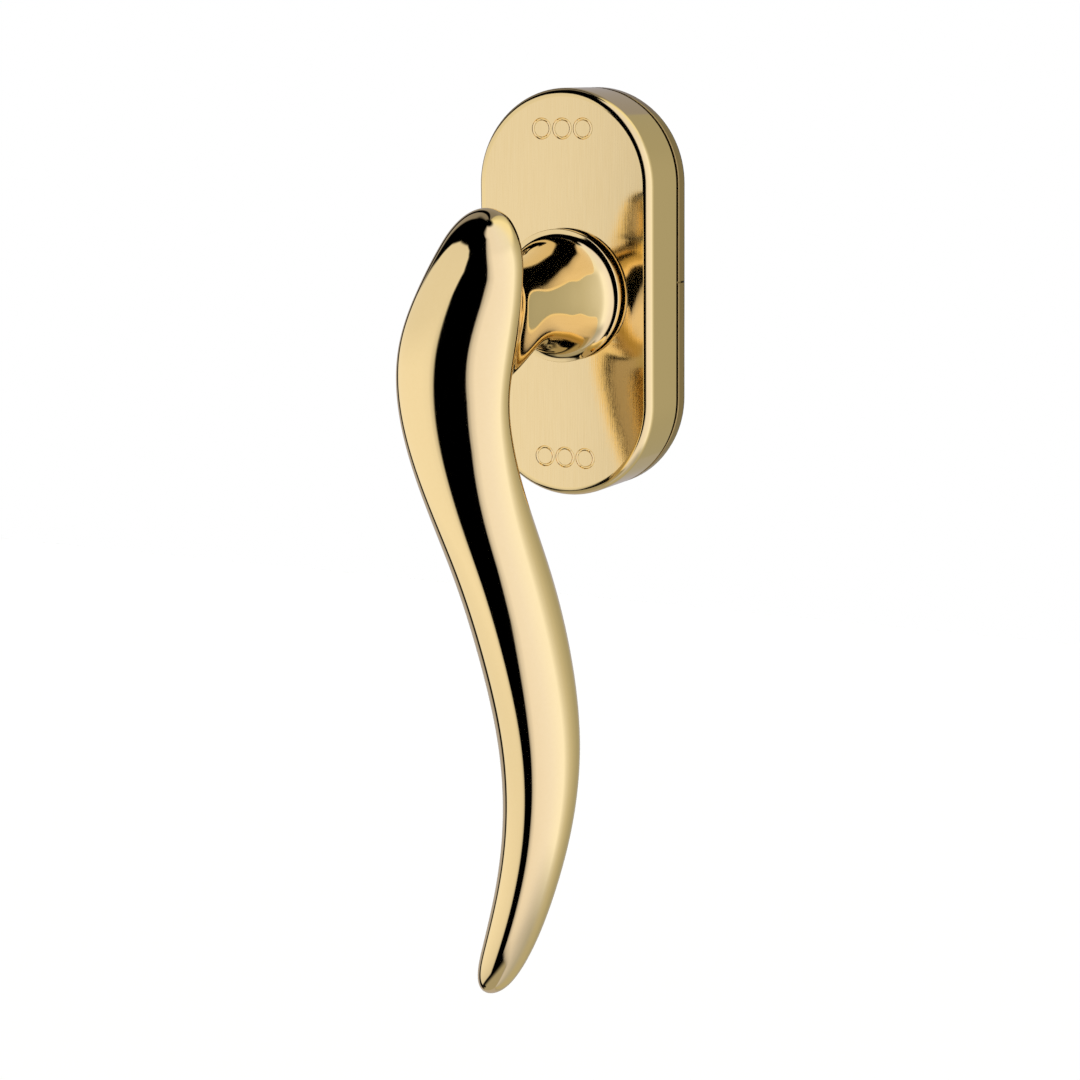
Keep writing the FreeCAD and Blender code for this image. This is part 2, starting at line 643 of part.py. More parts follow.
def cover_carrier():
    """Moulded frame inside the cover that carries it on the pivots."""
    frame = obround(CARRIER_OUTER, CARRIER_BACK, CARRIER_FRONT)
    web_back = CARRIER_FRONT - CARRIER_WEB
    frame = frame.cut(obround(CARRIER_INNER, CARRIER_BACK, web_back))
    additions = []
    for x, z in return_spring_places():
        additions.append(rod(RETURN_SPRING_RADIUS + CARRIER_BOSS_MARGIN, RETURN_SEAT, web_back, x, z))
        additions.append(rod(RETURN_STUB_RADIUS, RETURN_SEAT - RETURN_STUB_HEIGHT, RETURN_SEAT, x, z))
    for side in (1, -1):
        inner, outer = sorted((side * FINGER_INNER, side * (FINGER_INNER + FINGER_WIDTH)))
        low = BOLT_BAR_TOP - BOLT_TRAVEL - FINGER_END_GAP
        top = low - FINGER_THICKNESS
        additions.append(block(inner, outer, BOLT_MIDDLE, web_back, -low, -top))
    frame = frame.fuse(additions)
    frame = frame.cut(rod(FRONT_JOURNAL_RADIUS + CARRIER_HOLE_CLEARANCE, web_back, CARRIER_FRONT))
    half = PLATE_WIDTH / 2
    axis_start = at(-half, PIVOT_DEPTH, 0)
    frame = frame.cut(Part.makeCylinder(PIVOT_RADIUS + RUNNING_FIT, PLATE_WIDTH, axis_start, Vector(1, 0, 0)))
    return frame.removeSplitter()


def section_place(reach, station):
    """Centre and radius of one level section, from its shares."""
    share, sway, lean, size = station
    centre = at(sway * GRIP_SWAY, GRIP_DEPTH - lean * HEAD_LEAN, share * reach)
    return centre, size * BELLY_RADIUS


def end_dome(reach, station):
    """A shallow dome that closes the loft beyond its last section."""
    centre, radius = section_place(reach, station)
    rise = reach - centre.z
    middle = Vector(radius * math.cos(math.radians(45)), 0, rise * math.sin(math.radians(45)))
    edge = centre + Vector(radius, 0, 0)
    tip = centre + Vector(0, 0, rise)
    edges = [
        Part.Arc(edge, centre + middle, tip).toShape(),
        Part.LineSegment(tip, centre).toShape(),
        Part.LineSegment(centre, edge).toShape(),
    ]
    return Part.Face(Part.Wire(edges)).revolve(centre, Vector(0, 0, 1), 360)


def grip():
    """The sculpted grip, lofted through level round sections from head to tip."""
    sections = []
    for reach, stations in ((HEAD_RISE, HEAD_STATIONS), (-GRIP_DROP, GRIP_STATIONS)):
        for station in stations:
            centre, radius = section_place(reach, station)
            sections.append(Part.Wire([Part.Circle(centre, Vector(0, 0, 1), radius).toShape()]))
    body = Part.makeLoft(sections, True, False)
    body = body.fuse(end_dome(HEAD_RISE, HEAD_STATIONS[0]))
    return body.fuse(end_dome(-GRIP_DROP, GRIP_STATIONS[-1]))


def bell():
    """Bell foot and neck, turned about the spindle's axis."""
    points = [at(HUB_RADIUS, RIM_FRONT, 0)]
    for rise, loss in HUB_PROFILE:
        radius = HUB_RADIUS - loss * (HUB_RADIUS - NECK_RADIUS)
        points.append(at(radius, RIM_FRONT + rise * HUB_LENGTH, 0))
    flank = Part.BSplineCurve()
    flank.interpolate(points)
    edges = [
        Part.LineSegment(at(0, HUB_BACK, 0), at(HUB_RADIUS, HUB_BACK, 0)).toShape(),
        Part.LineSegment(at(HUB_RADIUS, HUB_BACK, 0), at(HUB_RADIUS, RIM_FRONT, 0)).toShape(),
        flank.toShape(),
        Part.LineSegment(at(NECK_RADIUS, NECK_START, 0), at(NECK_RADIUS, NECK_END, 0)).toShape(),
        Part.LineSegment(at(NECK_RADIUS, NECK_END, 0), at(0, NECK_END, 0)).toShape(),
        Part.LineSegment(at(0, NECK_END, 0), at(0, HUB_BACK, 0)).toShape(),
    ]
    return Part.Face(Part.Wire(edges)).revolve(Vector(0, 0, 0), Vector(0, 1, 0), 360)


def neck_junction(body):
    """The edges that run round the neck where it enters the back of the grip."""
    found = []
    around = [e for e in body.Edges if e.BoundBox.XLength + e.BoundBox.ZLength > NECK_RADIUS]
    for edge in around:
        points = edge.discretize(EDGE_SAMPLES)
        on_neck = all(abs(math.hypot(p.x, p.z) - NECK_RADIUS) < TOUCH for p in points)
        beyond_bell = all(-p.y > NECK_START + TOUCH for p in points)
        if on_neck and beyond_bell:
            found.append(edge)
    return found


def journal():
    """Steps behind the bell that run in the plate: collar, pin seat, disc seat, journal."""
    steps = rod(COLLAR_RADIUS, COLLAR_BACK, HUB_BACK)
    steps = steps.fuse(rod(FRONT_JOURNAL_RADIUS, DISC_FRONT, COLLAR_BACK))
    seat = rod(DISC_SEAT_RADIUS, DISC_BACK, DISC_FRONT)
    keep = block(-DISC_FLAT, DISC_FLAT, DISC_BACK, DISC_FRONT, -DISC_RADIUS, DISC_RADIUS)
    steps = steps.fuse(seat.common(keep))
    steps = steps.fuse(rod(JOURNAL_RADIUS, JOURNAL_END, DISC_BACK))
    groove = ring(RING_RADIUS, JOURNAL_RADIUS - RING_GROOVE, RING_BACK - AXIAL_PLAY, RING_FRONT + AXIAL_PLAY)
    return steps.cut(groove)


def lever_handle():
    """Grip, neck, bell foot and journal as one casting."""
    body = grip().fuse(bell()).removeSplitter()
    body = body.makeFillet(NECK_BLEND, neck_junction(body))
    body = body.fuse(journal()).removeSplitter()
    socket = square_bar(SPINDLE_SIDE + 2 * SPINDLE_FIT, JOURNAL_END, SPINDLE_GRIP + 2 * SPINDLE_FIT)
    body = body.cut(socket)
    return body.cut(cross_pin(PIN_RADIUS + PIN_FIT, COLLAR_RADIUS))


def parts():
    """Every piece of the handle by its node name."""
    upper, lower = ball_places()
    return {
        "backing_pad": backing_pad(),
        "base_frame": base_frame(),
        "mechanism_housing": mechanism_housing(),
        "locating_pegs": locating_pegs(),
        "fixing_screws": fixing_screws(),
        "housing_rivets": housing_rivets(),
        "bearing_bush": bearing_bush(),
        "thrust_washer": thrust_washer(),
        "spring_washer": spring_washer(),
        "retaining_ring": retaining_ring(),
        "pivot_pins": pivot_pins(),
        "lever_handle": lever_handle(),
        "square_spindle": square_spindle(),
        "spindle_pin": spindle_pin(),
        "detent_disc": detent_disc(),
        "detent_ball_upper": detent_ball(upper),
        "detent_ball_lower": detent_ball(lower),
        "detent_spring_upper": detent_spring(upper),
        "detent_spring_lower": detent_spring(lower),
        "lock_bolt": lock_bolt(),
        "bolt_spring_right": bolt_spring(1),
        "bolt_spring_left": bolt_spring(-1),
        "cover_plate": cover_plate(),
        "cover_carrier": cover_carrier(),
        "plate_springs_upper": return_springs(1),
        "plate_springs_lower": return_springs(-1),
    }


os.makedirs("parts", exist_ok=True)
for node, shape in parts().items():
    shape.exportStep("parts/" + node + ".step")
    box = shape.BoundBox
    print(node, len(shape.Solids), shape.isValid(), round(shape.Volume, 2),
          [round(v, 2) for v in (box.XMin, box.XMax, box.YMin, box.YMax, box.ZMin, box.ZMax)])
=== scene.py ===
"""Looks of a brass tilt-and-turn window handle: sculpted lever, brushed face plate, studio.

Sizes in the classes are millimetres, in the frame of the construction: the origin
is the middle of the plate on the window's surface, +X right, +Z up, and the user
stands on the -Y side. A depth d in front of the window lies at y = -d.
"""

import logging
import math
from collections.abc import Callable, Sequence
from dataclasses import dataclass
from enum import Enum
from itertools import product
from typing import Any, ClassVar

import bmesh
import bpy
import numpy as np
from bmesh.types import BMesh, BMVert
from bpy.types import GeometryNodeTree, Material, Mesh, Node, NodeSocket, NodeTree, Object
from mathutils import Matrix, Vector

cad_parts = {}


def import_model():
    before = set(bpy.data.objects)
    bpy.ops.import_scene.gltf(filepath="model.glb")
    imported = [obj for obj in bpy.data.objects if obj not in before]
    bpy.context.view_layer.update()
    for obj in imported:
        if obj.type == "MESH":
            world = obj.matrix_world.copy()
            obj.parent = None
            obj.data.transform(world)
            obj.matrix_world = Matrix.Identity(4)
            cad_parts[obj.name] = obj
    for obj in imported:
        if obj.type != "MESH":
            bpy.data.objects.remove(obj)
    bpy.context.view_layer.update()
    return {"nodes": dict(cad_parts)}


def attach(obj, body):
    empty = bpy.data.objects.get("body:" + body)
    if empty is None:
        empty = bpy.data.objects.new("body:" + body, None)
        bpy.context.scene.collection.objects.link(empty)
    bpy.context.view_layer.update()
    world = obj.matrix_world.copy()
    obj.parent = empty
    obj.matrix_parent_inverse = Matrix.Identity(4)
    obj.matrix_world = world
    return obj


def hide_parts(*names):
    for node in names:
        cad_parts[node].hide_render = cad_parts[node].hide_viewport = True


LOG = logging.getLogger("window_handle")
MM = 0.001
# A length in millimetres that is too small to see
HAIR = 0.01
Array = np.ndarray
Field = Callable[[Array], Array]
Stations = tuple[tuple[float, ...], ...]


def linear(code: str) -> tuple[float, float, float, float]:
    """Turns an sRGB hex colour into linear light.

    Args:
        code: Six hex digits.

    Returns:
        Linear red, green, blue and full alpha.
    """
    shares = [int(code[i : i + 2], 16) / 255 for i in (0, 2, 4)]
    bent = [s / 12.92 if s <= 0.04045 else ((s + 0.055) / 1.055) ** 2.4 for s in shares]
    return (bent[0], bent[1], bent[2], 1.0)


def add_node(
    tree: NodeTree, kind: str, inputs: dict[str | int, Any] | None = None, **settings: Any
) -> Node:
    """Adds one node to a shader or geometry tree.

    Args:
        tree: The tree that gets the node.
        kind: Blender's name of the node type.
        inputs: By input name or number: a constant, a socket to join, or a node whose
            first output is joined.
        settings: Node properties to set, such as an operation.

    Returns:
        The new node.
    """
    node = tree.nodes.new(kind)
    for name, value in settings.items():
        setattr(node, name, value)
    for name, given in (inputs or {}).items():
        source = given.outputs[0] if isinstance(given, Node) else given
        if isinstance(source, NodeSocket):
            tree.links.new(source, node.inputs[name])
        else:
            node.inputs[name].default_value = source
    return node


def calculate(tree: NodeTree, operation: str, first: Any, second: Any) -> Node:
    """Adds a math node over two constants, sockets or nodes."""
    return add_node(tree, "ShaderNodeMath", {0: first, 1: second}, operation=operation)


def fresh_material(name: str) -> tuple[Material, NodeTree]:
    """Makes a material with an empty node tree.

    Args:
        name: Name of the material.

    Returns:
        The material and its tree.
    """
    material = bpy.data.materials.new(name)
    material.use_nodes = True
    material.node_tree.nodes.clear()
    return material, material.node_tree


def finish_surface(tree: NodeTree, shader: Node) -> None:
    """Joins a shader node to the material's output."""
    add_node(tree, "ShaderNodeOutputMaterial", {"Surface": shader})


class Travel(Enum):
    """Direction of the visible grain on a finish."""

    UPRIGHT = (1.0, 1.0, 0.02)
    NONE = (1.0, 1.0, 1.0)


@dataclass(frozen=True)
class Finish:
    """A material whose grain moves its roughness, its surface and its colour a little.

    The grain's pitch is in millimetres. Its valleys have the shade's colour.
    """

    name: str
    colour: str
    shade: str
    roughness: float
    spread: float
    grain: float
    lift: float

    # Metallic share, depth of the grain, and levels of its pattern that span the spread
    metallic: ClassVar[float]
    valley: ClassVar[float]
    swing: ClassVar[tuple[float, float]]

    def pattern(self, tree: NodeTree, place: NodeSocket) -> tuple[Node, Node]:
        """Gives the nodes of the grain and of what moves the roughness."""
        raise NotImplementedError

    def material(self) -> Material:
        """Builds the node tree.

        Returns:
            The finished material.
        """
        material, tree = fresh_material(self.name)
        place = add_node(tree, "ShaderNodeTexCoord").outputs["Object"]
        grain, mover = self.pattern(tree, place)
        tint = add_node(
            tree, "ShaderNodeMix",
            {"Factor": grain, 6: linear(self.shade), 7: linear(self.colour)}, data_type="RGBA",
        )
        rough = add_node(tree, "ShaderNodeMapRange", {
            "Value": mover, "From Min": self.swing[0], "From Max": self.swing[1],
            "To Min": self.roughness - self.spread, "To Max": self.roughness + self.spread,
        })
        bump = add_node(tree, "ShaderNodeBump", {
            "Height": grain, "Strength": self.lift, "Distance": self.valley * MM,
        })
        shader = add_node(tree, "ShaderNodeBsdfPrincipled", {
            "Metallic": self.metallic, "Base Color": tint.outputs[2], "Roughness": rough,
            "Normal": bump,
        })
        finish_surface(tree, shader)
        return material


@dataclass(frozen=True)
class MetalFinish(Finish):
    """A metal with a grain that is as fine as its tool leaves it, and a wide, faint haze."""

    travel: Travel = Travel.NONE

    metallic = 1.0
    valley = 0.02
    swing = (0.1, 0.42)
    haze: ClassVar[float] = 9.0

    def pattern(self, tree: NodeTree, place: NodeSocket) -> tuple[Node, Node]:
        """Lays the grain along its travel and the haze over it.

        Args:
            tree: The material's tree.
            place: Socket of the object's coordinates.

        Returns:
            The grain, and its product with the haze, which moves the roughness.
        """
        turn = add_node(tree, "ShaderNodeMapping", {"Vector": place, "Scale": self.travel.value})
        grain = add_node(tree, "ShaderNodeTexNoise", {
            "Vector": turn, "Scale": 1 / (self.grain * MM), "Detail": 3.0, "Roughness": 0.6,
        })
        haze = add_node(tree, "ShaderNodeTexNoise", {
            "Vector": place, "Scale": 1 / (self.haze * MM), "Detail": 2.0,
        })
        return grain, calculate(tree, "MULTIPLY", grain, haze)


@dataclass(frozen=True)
class MouldedFinish(Finish):
    """A moulded plastic or rubber with a fine spark-eroded skin."""

    metallic = 0.0
    valley = 0.05
    swing = (0.0, 1.0)

    def pattern(self, tree: NodeTree, place: NodeSocket) -> tuple[Node, Node]:
        """Lays an even grain, which moves the roughness as well."""
        grain = add_node(tree, "ShaderNodeTexNoise", {
            "Vector": place, "Scale": 1 / (self.grain * MM), "Detail": 4.0,
        })
        return grain, grain


# Buffed brass under clear lacquer: a warm mirror with the faintest polishing haze
POLISHED_BRASS = MetalFinish("polished_brass", "FBE3AC", "F8DFA6", 0.045, 0.02, 0.6, 0.01)
# The plate's wall, buffed less: the same gold, reflections a little softer
BUFFED_BRASS = MetalFinish("buffed_brass", "F8E0A8", "F2D99E", 0.075, 0.02, 0.25, 0.02)
# The base behind the cover, plated but not buffed, so its reflections are duller; its gold is
# darkened by painted shade, for the cover's shade that it sits in
UNBUFFED_SHADED_BRASS = MetalFinish("unbuffed_shaded_brass", "B8A06C", "9C8654", 0.16, 0.04, 0.3, 0.06)
# Face drawn over a fine belt, top to bottom: soft upright streaks. The real lines are
# about 0.05 mm apart; they are drawn at 0.14 mm so that they show
BRUSHED_BRASS = MetalFinish(
    "brushed_brass", "FBE6B6", "EDD39B", 0.065, 0.025, 0.14, 0.16, Travel.UPRIGHT
)
# Pressure-cast zinc, left as it came from the die: dull grey with a faint bloom
CAST_ZINC = MetalFinish("cast_zinc", "A9ABAC", "8E9092", 0.42, 0.10, 0.5, 0.35)
# Zinc-plated steel: cool and bright, slightly cloudy
PLATED_STEEL = MetalFinish("zinc_plated_steel", "C9CCD0", "B4B8BE", 0.24, 0.07, 0.4, 0.12)
# Drawn spring wire: grey, with a fine, dull grain
SPRING_STEEL = MetalFinish("spring_steel", "9C9B98", "7F7E7B", 0.30, 0.06, 0.1, 0.12)
# Ground bearing steel: near white and mirror bright
BEARING_STEEL = MetalFinish("bearing_steel", "D6D8DA", "CDD0D3", 0.07, 0.02, 0.3, 0.02)
# Glass-filled nylon: black with a faint speckle
BLACK_NYLON = MouldedFinish("black_nylon", "1D1D1F", "141416", 0.48, 0.08, 0.3, 0.30)
# Acetal: milky white and slippery
WHITE_ACETAL = MouldedFinish("white_acetal", "ECEBE4", "E0DFD7", 0.36, 0.08, 0.4, 0.10)
# Soft backing sheet: matt dark grey rubber
SOFT_PAD = MouldedFinish("elastomer_pad", "2A2A2B", "1F1F20", 0.72, 0.08, 0.25, 0.45)


class SmoothCurve:
    """A natural cubic curve through given values, straight beyond its ends."""

    def __init__(self, stations: Sequence[float], values: Sequence[float]) -> None:
        """Solves for the curvature at each station.

        Args:
            stations: Places along the curve, rising.
            values: The value at each place.
        """
        self.x = np.asarray(stations, float)
        self.y = np.asarray(values, float)
        gap = np.diff(self.x)
        slope = np.diff(self.y) / gap
        count = len(self.x)
        system = np.eye(count)
        right = np.zeros(count)
        for i in range(1, count - 1):
            system[i, i - 1 : i + 2] = gap[i - 1], 2 * (gap[i - 1] + gap[i]), gap[i]
            right[i] = 6 * (slope[i] - slope[i - 1])
        self.bend = np.linalg.solve(system, right)

    def at(self, x: Array) -> tuple[Array, Array]:
        """Value and slope of the curve.

        Args:
            x: Places to read.

        Returns:
            The values and the slopes there.
        """
        near = np.clip(x, self.x[0], self.x[-1])
        i = np.clip(np.searchsorted(self.x, near) - 1, 0, len(self.x) - 2)
        gap = self.x[i + 1] - self.x[i]
        a = (self.x[i + 1] - near) / gap
        b = 1 - a
        one, two = self.bend[i] * gap / 6, self.bend[i + 1] * gap / 6
        value = a * self.y[i] + b * self.y[i + 1] + ((a**3 - a) * one + (b**3 - b) * two) * gap
        slope = (self.y[i + 1] - self.y[i]) / gap + (3 * b**2 - 1) * two - (3 * a**2 - 1) * one
        return value + slope * (x - near), slope


def steepest(field: Field, points: Array) -> Array:
    """Gradient of a field, by central differences.

    Args:
        field: Value for each row of points.
        points: Rows of x, y, z in millimetres.

    Returns:
        One gradient for each row.
    """
    small = 0.002
    parts = []
    for axis in range(3):
        push = np.zeros(3)
        push[axis] = small
        parts.append((field(points + push) - field(points - push)) / (2 * small))
    return np.stack(parts, -1)


def drawn_to_surface(field: Field, points: Array, rounds: int = 3) -> Array:
    """Moves points along the gradient until the field is zero there.

    Args:
        field: Negative inside the body.
        points: Rows of x, y, z in millimetres.
        rounds: Steps towards the surface.

    Returns:
        The points in their new places.
    """
    for _ in range(rounds):
        lean = steepest(field, points)
        size = np.maximum((lean * lean).sum(1), 1e-6)
        points = points - lean * (field(points) / size)[:, None]
    return points


def skin(
    field: Field, low: Sequence[float], high: Sequence[float], step: float
) -> tuple[Array, Array]:
    """Covers the surface where a field is zero with even quads.

    Args:
        field: Negative inside the body.
        low: Lowest corner of the space to search, in millimetres.
        high: Highest corner.
        step: Size of a quad.

    Returns:
        Vertices, and quads that point outwards.
    """
    axes = [np.arange(a, b + step, step) for a, b in zip(low, high)]
    shape = tuple(len(a) for a in axes)
    grid = np.stack(np.meshgrid(*axes, indexing="ij"), -1).reshape(-1, 3)
    inside = (field(grid) < 0).reshape(shape)
    filled = np.zeros(tuple(n - 1 for n in shape), int)
    for corner in product((0, 1), repeat=3):
        filled += inside[tuple(slice(c, n - 1 + c) for c, n in zip(corner, shape))]
    mixed = (filled > 0) & (filled < 8)
    number = np.full(mixed.shape, -1)
    number[mixed] = np.arange(mixed.sum())
    cells = np.argwhere(mixed)
    points = np.stack([axes[a][cells[:, a]] + step / 2 for a in range(3)], -1)
    quads = []
    for axis in range(3):
        one, two = (axis + 1) % 3, (axis + 2) % 3
        before = np.take(inside, range(shape[axis] - 1), axis)
        after = np.take(inside, range(1, shape[axis]), axis)
        for leaving in (True, False):
            place = np.argwhere((before != after) & (before == leaving))
            place = place[(place[:, one] > 0) & (place[:, two] > 0)]
            place = place[(place[:, one] < shape[one] - 1) & (place[:, two] < shape[two] - 1)]
            ring = []
            for du, dv in ((0, 0), (-1, 0), (-1, -1), (0, -1)):
                cell = place.copy()
                cell[:, one] += du
                cell[:, two] += dv
                ring.append(number[cell[:, 0], cell[:, 1], cell[:, 2]])
            quad = np.stack(ring, -1)
            quads.append(quad if leaving else quad[:, ::-1])
    faces = np.concatenate(quads)
    faces = faces[(faces >= 0).all(1)]
    return relaxed(field, points, faces), faces


def relaxed(
    field: Field, points: Array, faces: Array, rounds: int = 8, share: float = 0.6
) -> Array:
    """Evens out the spacing of a net of quads while it stays on the surface.

    Args:
        field: Negative inside the body.
        points: The net's vertices.
        faces: Its quads.
        rounds: How often each vertex moves.
        share: Part of the way that it moves to the middle of its neighbours.

    Returns:
        The vertices in their new places.
    """
    pairs = np.concatenate([faces[:, [i, (i + 1) % 4]] for i in range(4)])
    pairs = np.concatenate([pairs, pairs[:, ::-1]])
    count = np.bincount(pairs[:, 0], minlength=len(points))
    points = drawn_to_surface(field, points, 4)
    for _ in range(rounds):
        total = np.stack(
            [np.bincount(pairs[:, 0], points[pairs[:, 1], a], len(points)) for a in range(3)], -1
        )
        points = points + share * (total / np.maximum(count, 1)[:, None] - points)
        points = drawn_to_surface(field, points, 1)
    return drawn_to_surface(field, points, 3)


def new_object(name: str, mesh: Mesh) -> Object:
    """Links a mesh to the scene.

    Args:
        name: Name of the object.
        mesh: Its mesh.

    Returns:
        The new object.
    """
    piece = bpy.data.objects.new(name, mesh)
    bpy.context.scene.collection.objects.link(piece)
    return piece


def made_of(shape: BMesh, name: str) -> Object:
    """Turns a finished bmesh into an object of its own.

    Args:
        shape: The bmesh, which is freed.
        name: Name of the object.

    Returns:
        The new object.
    """
    mesh = bpy.data.meshes.new(name)
    shape.to_mesh(mesh)
    shape.free()
    return new_object(name, mesh)


def baked(piece: Object) -> Object:
    """Turns an object's modifiers into plain mesh.

    Args:
        piece: An object whose modifiers are finished.

    Returns:
        The same object without modifiers.
    """
    graph = bpy.context.evaluated_depsgraph_get()
    mesh = bpy.data.meshes.new_from_object(
        piece.evaluated_get(graph), preserve_all_data_layers=True, depsgraph=graph
    )
    piece.modifiers.clear()
    old = piece.data
    piece.data = mesh
    bpy.data.meshes.remove(old)
    mesh.name = piece.name
    return piece


def soften(shape: BMesh, angle: float) -> None:
    """Smooths all faces, with a break at each sharp edge.

    Args:
        shape: The mesh in work.
        angle: Edges that turn more than this many degrees stay sharp.
    """
    bmesh.ops.recalc_face_normals(shape, faces=shape.faces)
    for face in shape.faces:
        face.smooth = True
    for edge in shape.edges:
        turn = edge.calc_face_angle(0.0)
        edge.smooth = len(edge.link_faces) == 2 and turn < math.radians(angle)


def crisp(piece: Object, angle: float = 32.0) -> Object:
    """Keeps flats flat and roundings round, with a break at each sharp edge.

    Args:
        piece: The object to shade.
        angle: Edges that turn more than this many degrees stay sharp.

    Returns:
        The same object as plain mesh.
    """
    shape = bmesh.new()
    shape.from_mesh(piece.data)
    soften(shape, angle)
    shape.to_mesh(piece.data)
    shape.free()
    weight = piece.modifiers.new("flat faces first", "WEIGHTED_NORMAL")
    weight.keep_sharp = True
    weight.weight = 100
    return baked(piece)


def node_tool(
    name: str, sizes: Sequence[str], **others: str
) -> tuple[GeometryNodeTree, Any]:
    """Starts geometry nodes that take a piece and sizes, and give the piece back.

    Args:
        name: Name of the tree.
        sizes: Names of its sizes.
        others: Names and kinds of its other inputs.

    Returns:
        The tree and the sockets of its inputs.
    """
    tree = bpy.data.node_groups.new(name, "GeometryNodeTree")
    kinds = {"Piece": "Geometry", **dict.fromkeys(sizes, "Float"), **others}
    for label, kind in kinds.items():
        tree.interface.new_socket(label, in_out="INPUT", socket_type="NodeSocket" + kind)
    tree.interface.new_socket("Piece", in_out="OUTPUT", socket_type="NodeSocketGeometry")
    return tree, add_node(tree, "NodeGroupInput").outputs


def worked(piece: Object, tree: GeometryNodeTree, sizes: dict[str, Any]) -> Object:
    """Runs geometry nodes on a piece and keeps the result as plain mesh.

    Args:
        piece: The object to work on.
        tree: The nodes.
        sizes: Their inputs by name.

    Returns:
        The same object.
    """
    tool = piece.modifiers.new(tree.name, "NODES")
    tool.node_group = tree
    for item in tree.interface.items_tree:
        if item.in_out == "INPUT" and item.name in sizes:
            tool[item.identifier] = sizes[item.name]
    return baked(piece)


def join_rings(shape: BMesh, rings: Sequence[Sequence[BMVert]]) -> None:
    """Joins each ring of vertices to the next with faces.

    Args:
        shape: The mesh in work.
        rings: Rings of equal count, or a single vertex for a tip.
    """
    for one, two in zip(rings, rings[1:]):
        for i in range(max(len(one), len(two))):
            j = i + 1
            corners = (one[i % len(one)], one[j % len(one)], two[j % len(two)], two[i % len(two)])
            shape.faces.new(list(dict.fromkeys(corners)))


def long_hole(width: float, height: float, inset: float, arc: int = 48, run: int = 10) -> Array:
    """Points round the plate's long-hole outline, drawn in by an inset.

    Args:
        width: Full width of the plate.
        height: Full height of the plate.
        inset: Distance inside the full outline.
        arc: Steps of each half circle.
        run: Steps of each straight side.

    Returns:
        Rows of x and z, anticlockwise for the user.
    """
    radius = width / 2 - inset
    straight = (height - width) / 2
    turn = np.linspace(0, math.pi, arc + 1)[:-1]
    side = np.linspace(straight, -straight, run + 1)[:-1]
    top = np.stack([radius * np.cos(turn), straight + radius * np.sin(turn)], -1)
    half = np.concatenate([top, np.stack([np.full(run, -radius), side], -1)])
    return np.concatenate([half, -half])


def ring_mesh(name: str, rings: Sequence[Array]) -> Mesh:
    """Joins rings of equal count with quads, and the last ring to the first.

    Args:
        name: Name of the mesh.
        rings: Each a set of points in millimetres, in order.

    Returns:
        The mesh, in metres.
    """
    count = len(rings[0])
    faces = []
    for i in range(len(rings)):
        j = (i + 1) % len(rings)
        for k in range(count):
            m = (k + 1) % count
            faces.append((i * count + k, i * count + m, j * count + m, j * count + k))
    mesh = bpy.data.meshes.new(name)
    mesh.from_pydata((np.concatenate(rings) * MM).tolist(), [], faces)
    return mesh


def at_depth(outline: Array, depth: float) -> Array:
    """Places a flat outline at a depth in front of the window."""
    return np.stack([outline[:, 0], np.full(len(outline), -depth), outline[:, 1]], -1)


def circle_like(outline: Array, radius: float) -> Array:
    """A circle with one point in the direction of each point of an outline."""
    turn = np.arctan2(outline[:, 1], outline[:, 0])
    return np.stack([radius * np.cos(turn), radius * np.sin(turn)], -1)


def rolled_edge(
    size: tuple[float, float], radius: float, face: float, ahead: int, steps: int
) -> list[Array]:
    """Outlines round a plate's rolled edge, from its side wall to a flat face.

    Args:
        size: Full width and height of the plate.
        radius: Radius of the edge.
        face: Depth of the flat face.
        ahead: 1 where the wall lies in front of the face, -1 where it lies behind it.
        steps: Steps of the quarter turn.

    Returns:
        One ring for each step.
    """
    rings = []
    for i in range(steps + 1):
        turn = math.pi / 2 * i / steps
        outline = long_hole(*size, radius * (1 - math.cos(turn)))
        rings.append(at_depth(outline, face + ahead * radius * (1 - math.sin(turn))))
    return rings


def cutters(
    name: str, rods: Sequence[tuple[float, ...]], blocks: Sequence[tuple[float, ...]] = ()
) -> Object:
    """Makes one object of round and square cutters.

    Args:
        name: Name of the object.
        rods: Each x, z, radius, back depth and front depth.
        blocks: Each lowest x, y, z and highest x, y, z.

    Returns:
        An object that is removed after use.
    """
    shape = bmesh.new()
    for x, z, radius, back, front in rods:
        move = Matrix.Translation(Vector((x, -(back + front) / 2, z)) * MM)
        bmesh.ops.create_cone(
            shape, cap_ends=True, segments=72, radius1=radius * MM, radius2=radius * MM,
            depth=(front - back) * MM, matrix=move @ Matrix.Rotation(math.pi / 2, 4, "X"),
        )
    for x0, y0, z0, x1, y1, z1 in blocks:
        size = Matrix.Diagonal(Vector((x1 - x0, y1 - y0, z1 - z0, 1 / MM)) * MM)
        middle = Vector((x0 + x1, y0 + y1, z0 + z1)) * (MM / 2)
        bmesh.ops.create_cube(shape, size=1.0, matrix=Matrix.Translation(middle) @ size)
    return made_of(shape, name)


def cut_away(piece: Object, tool: Object) -> Object:
    """Cuts a tool's shape out of a piece and removes the tool.

    Args:
        piece: The object that is cut.
        tool: The object whose shape is cut away.

    Returns:
        The same piece, as plain mesh.
    """
    cut = piece.modifiers.new("cut", "BOOLEAN")
    cut.operation = "DIFFERENCE"
    cut.solver = "EXACT"
    cut.object = tool
    baked(piece)
    mesh = tool.data
    bpy.data.objects.remove(tool)
    bpy.data.meshes.remove(mesh)
    return piece


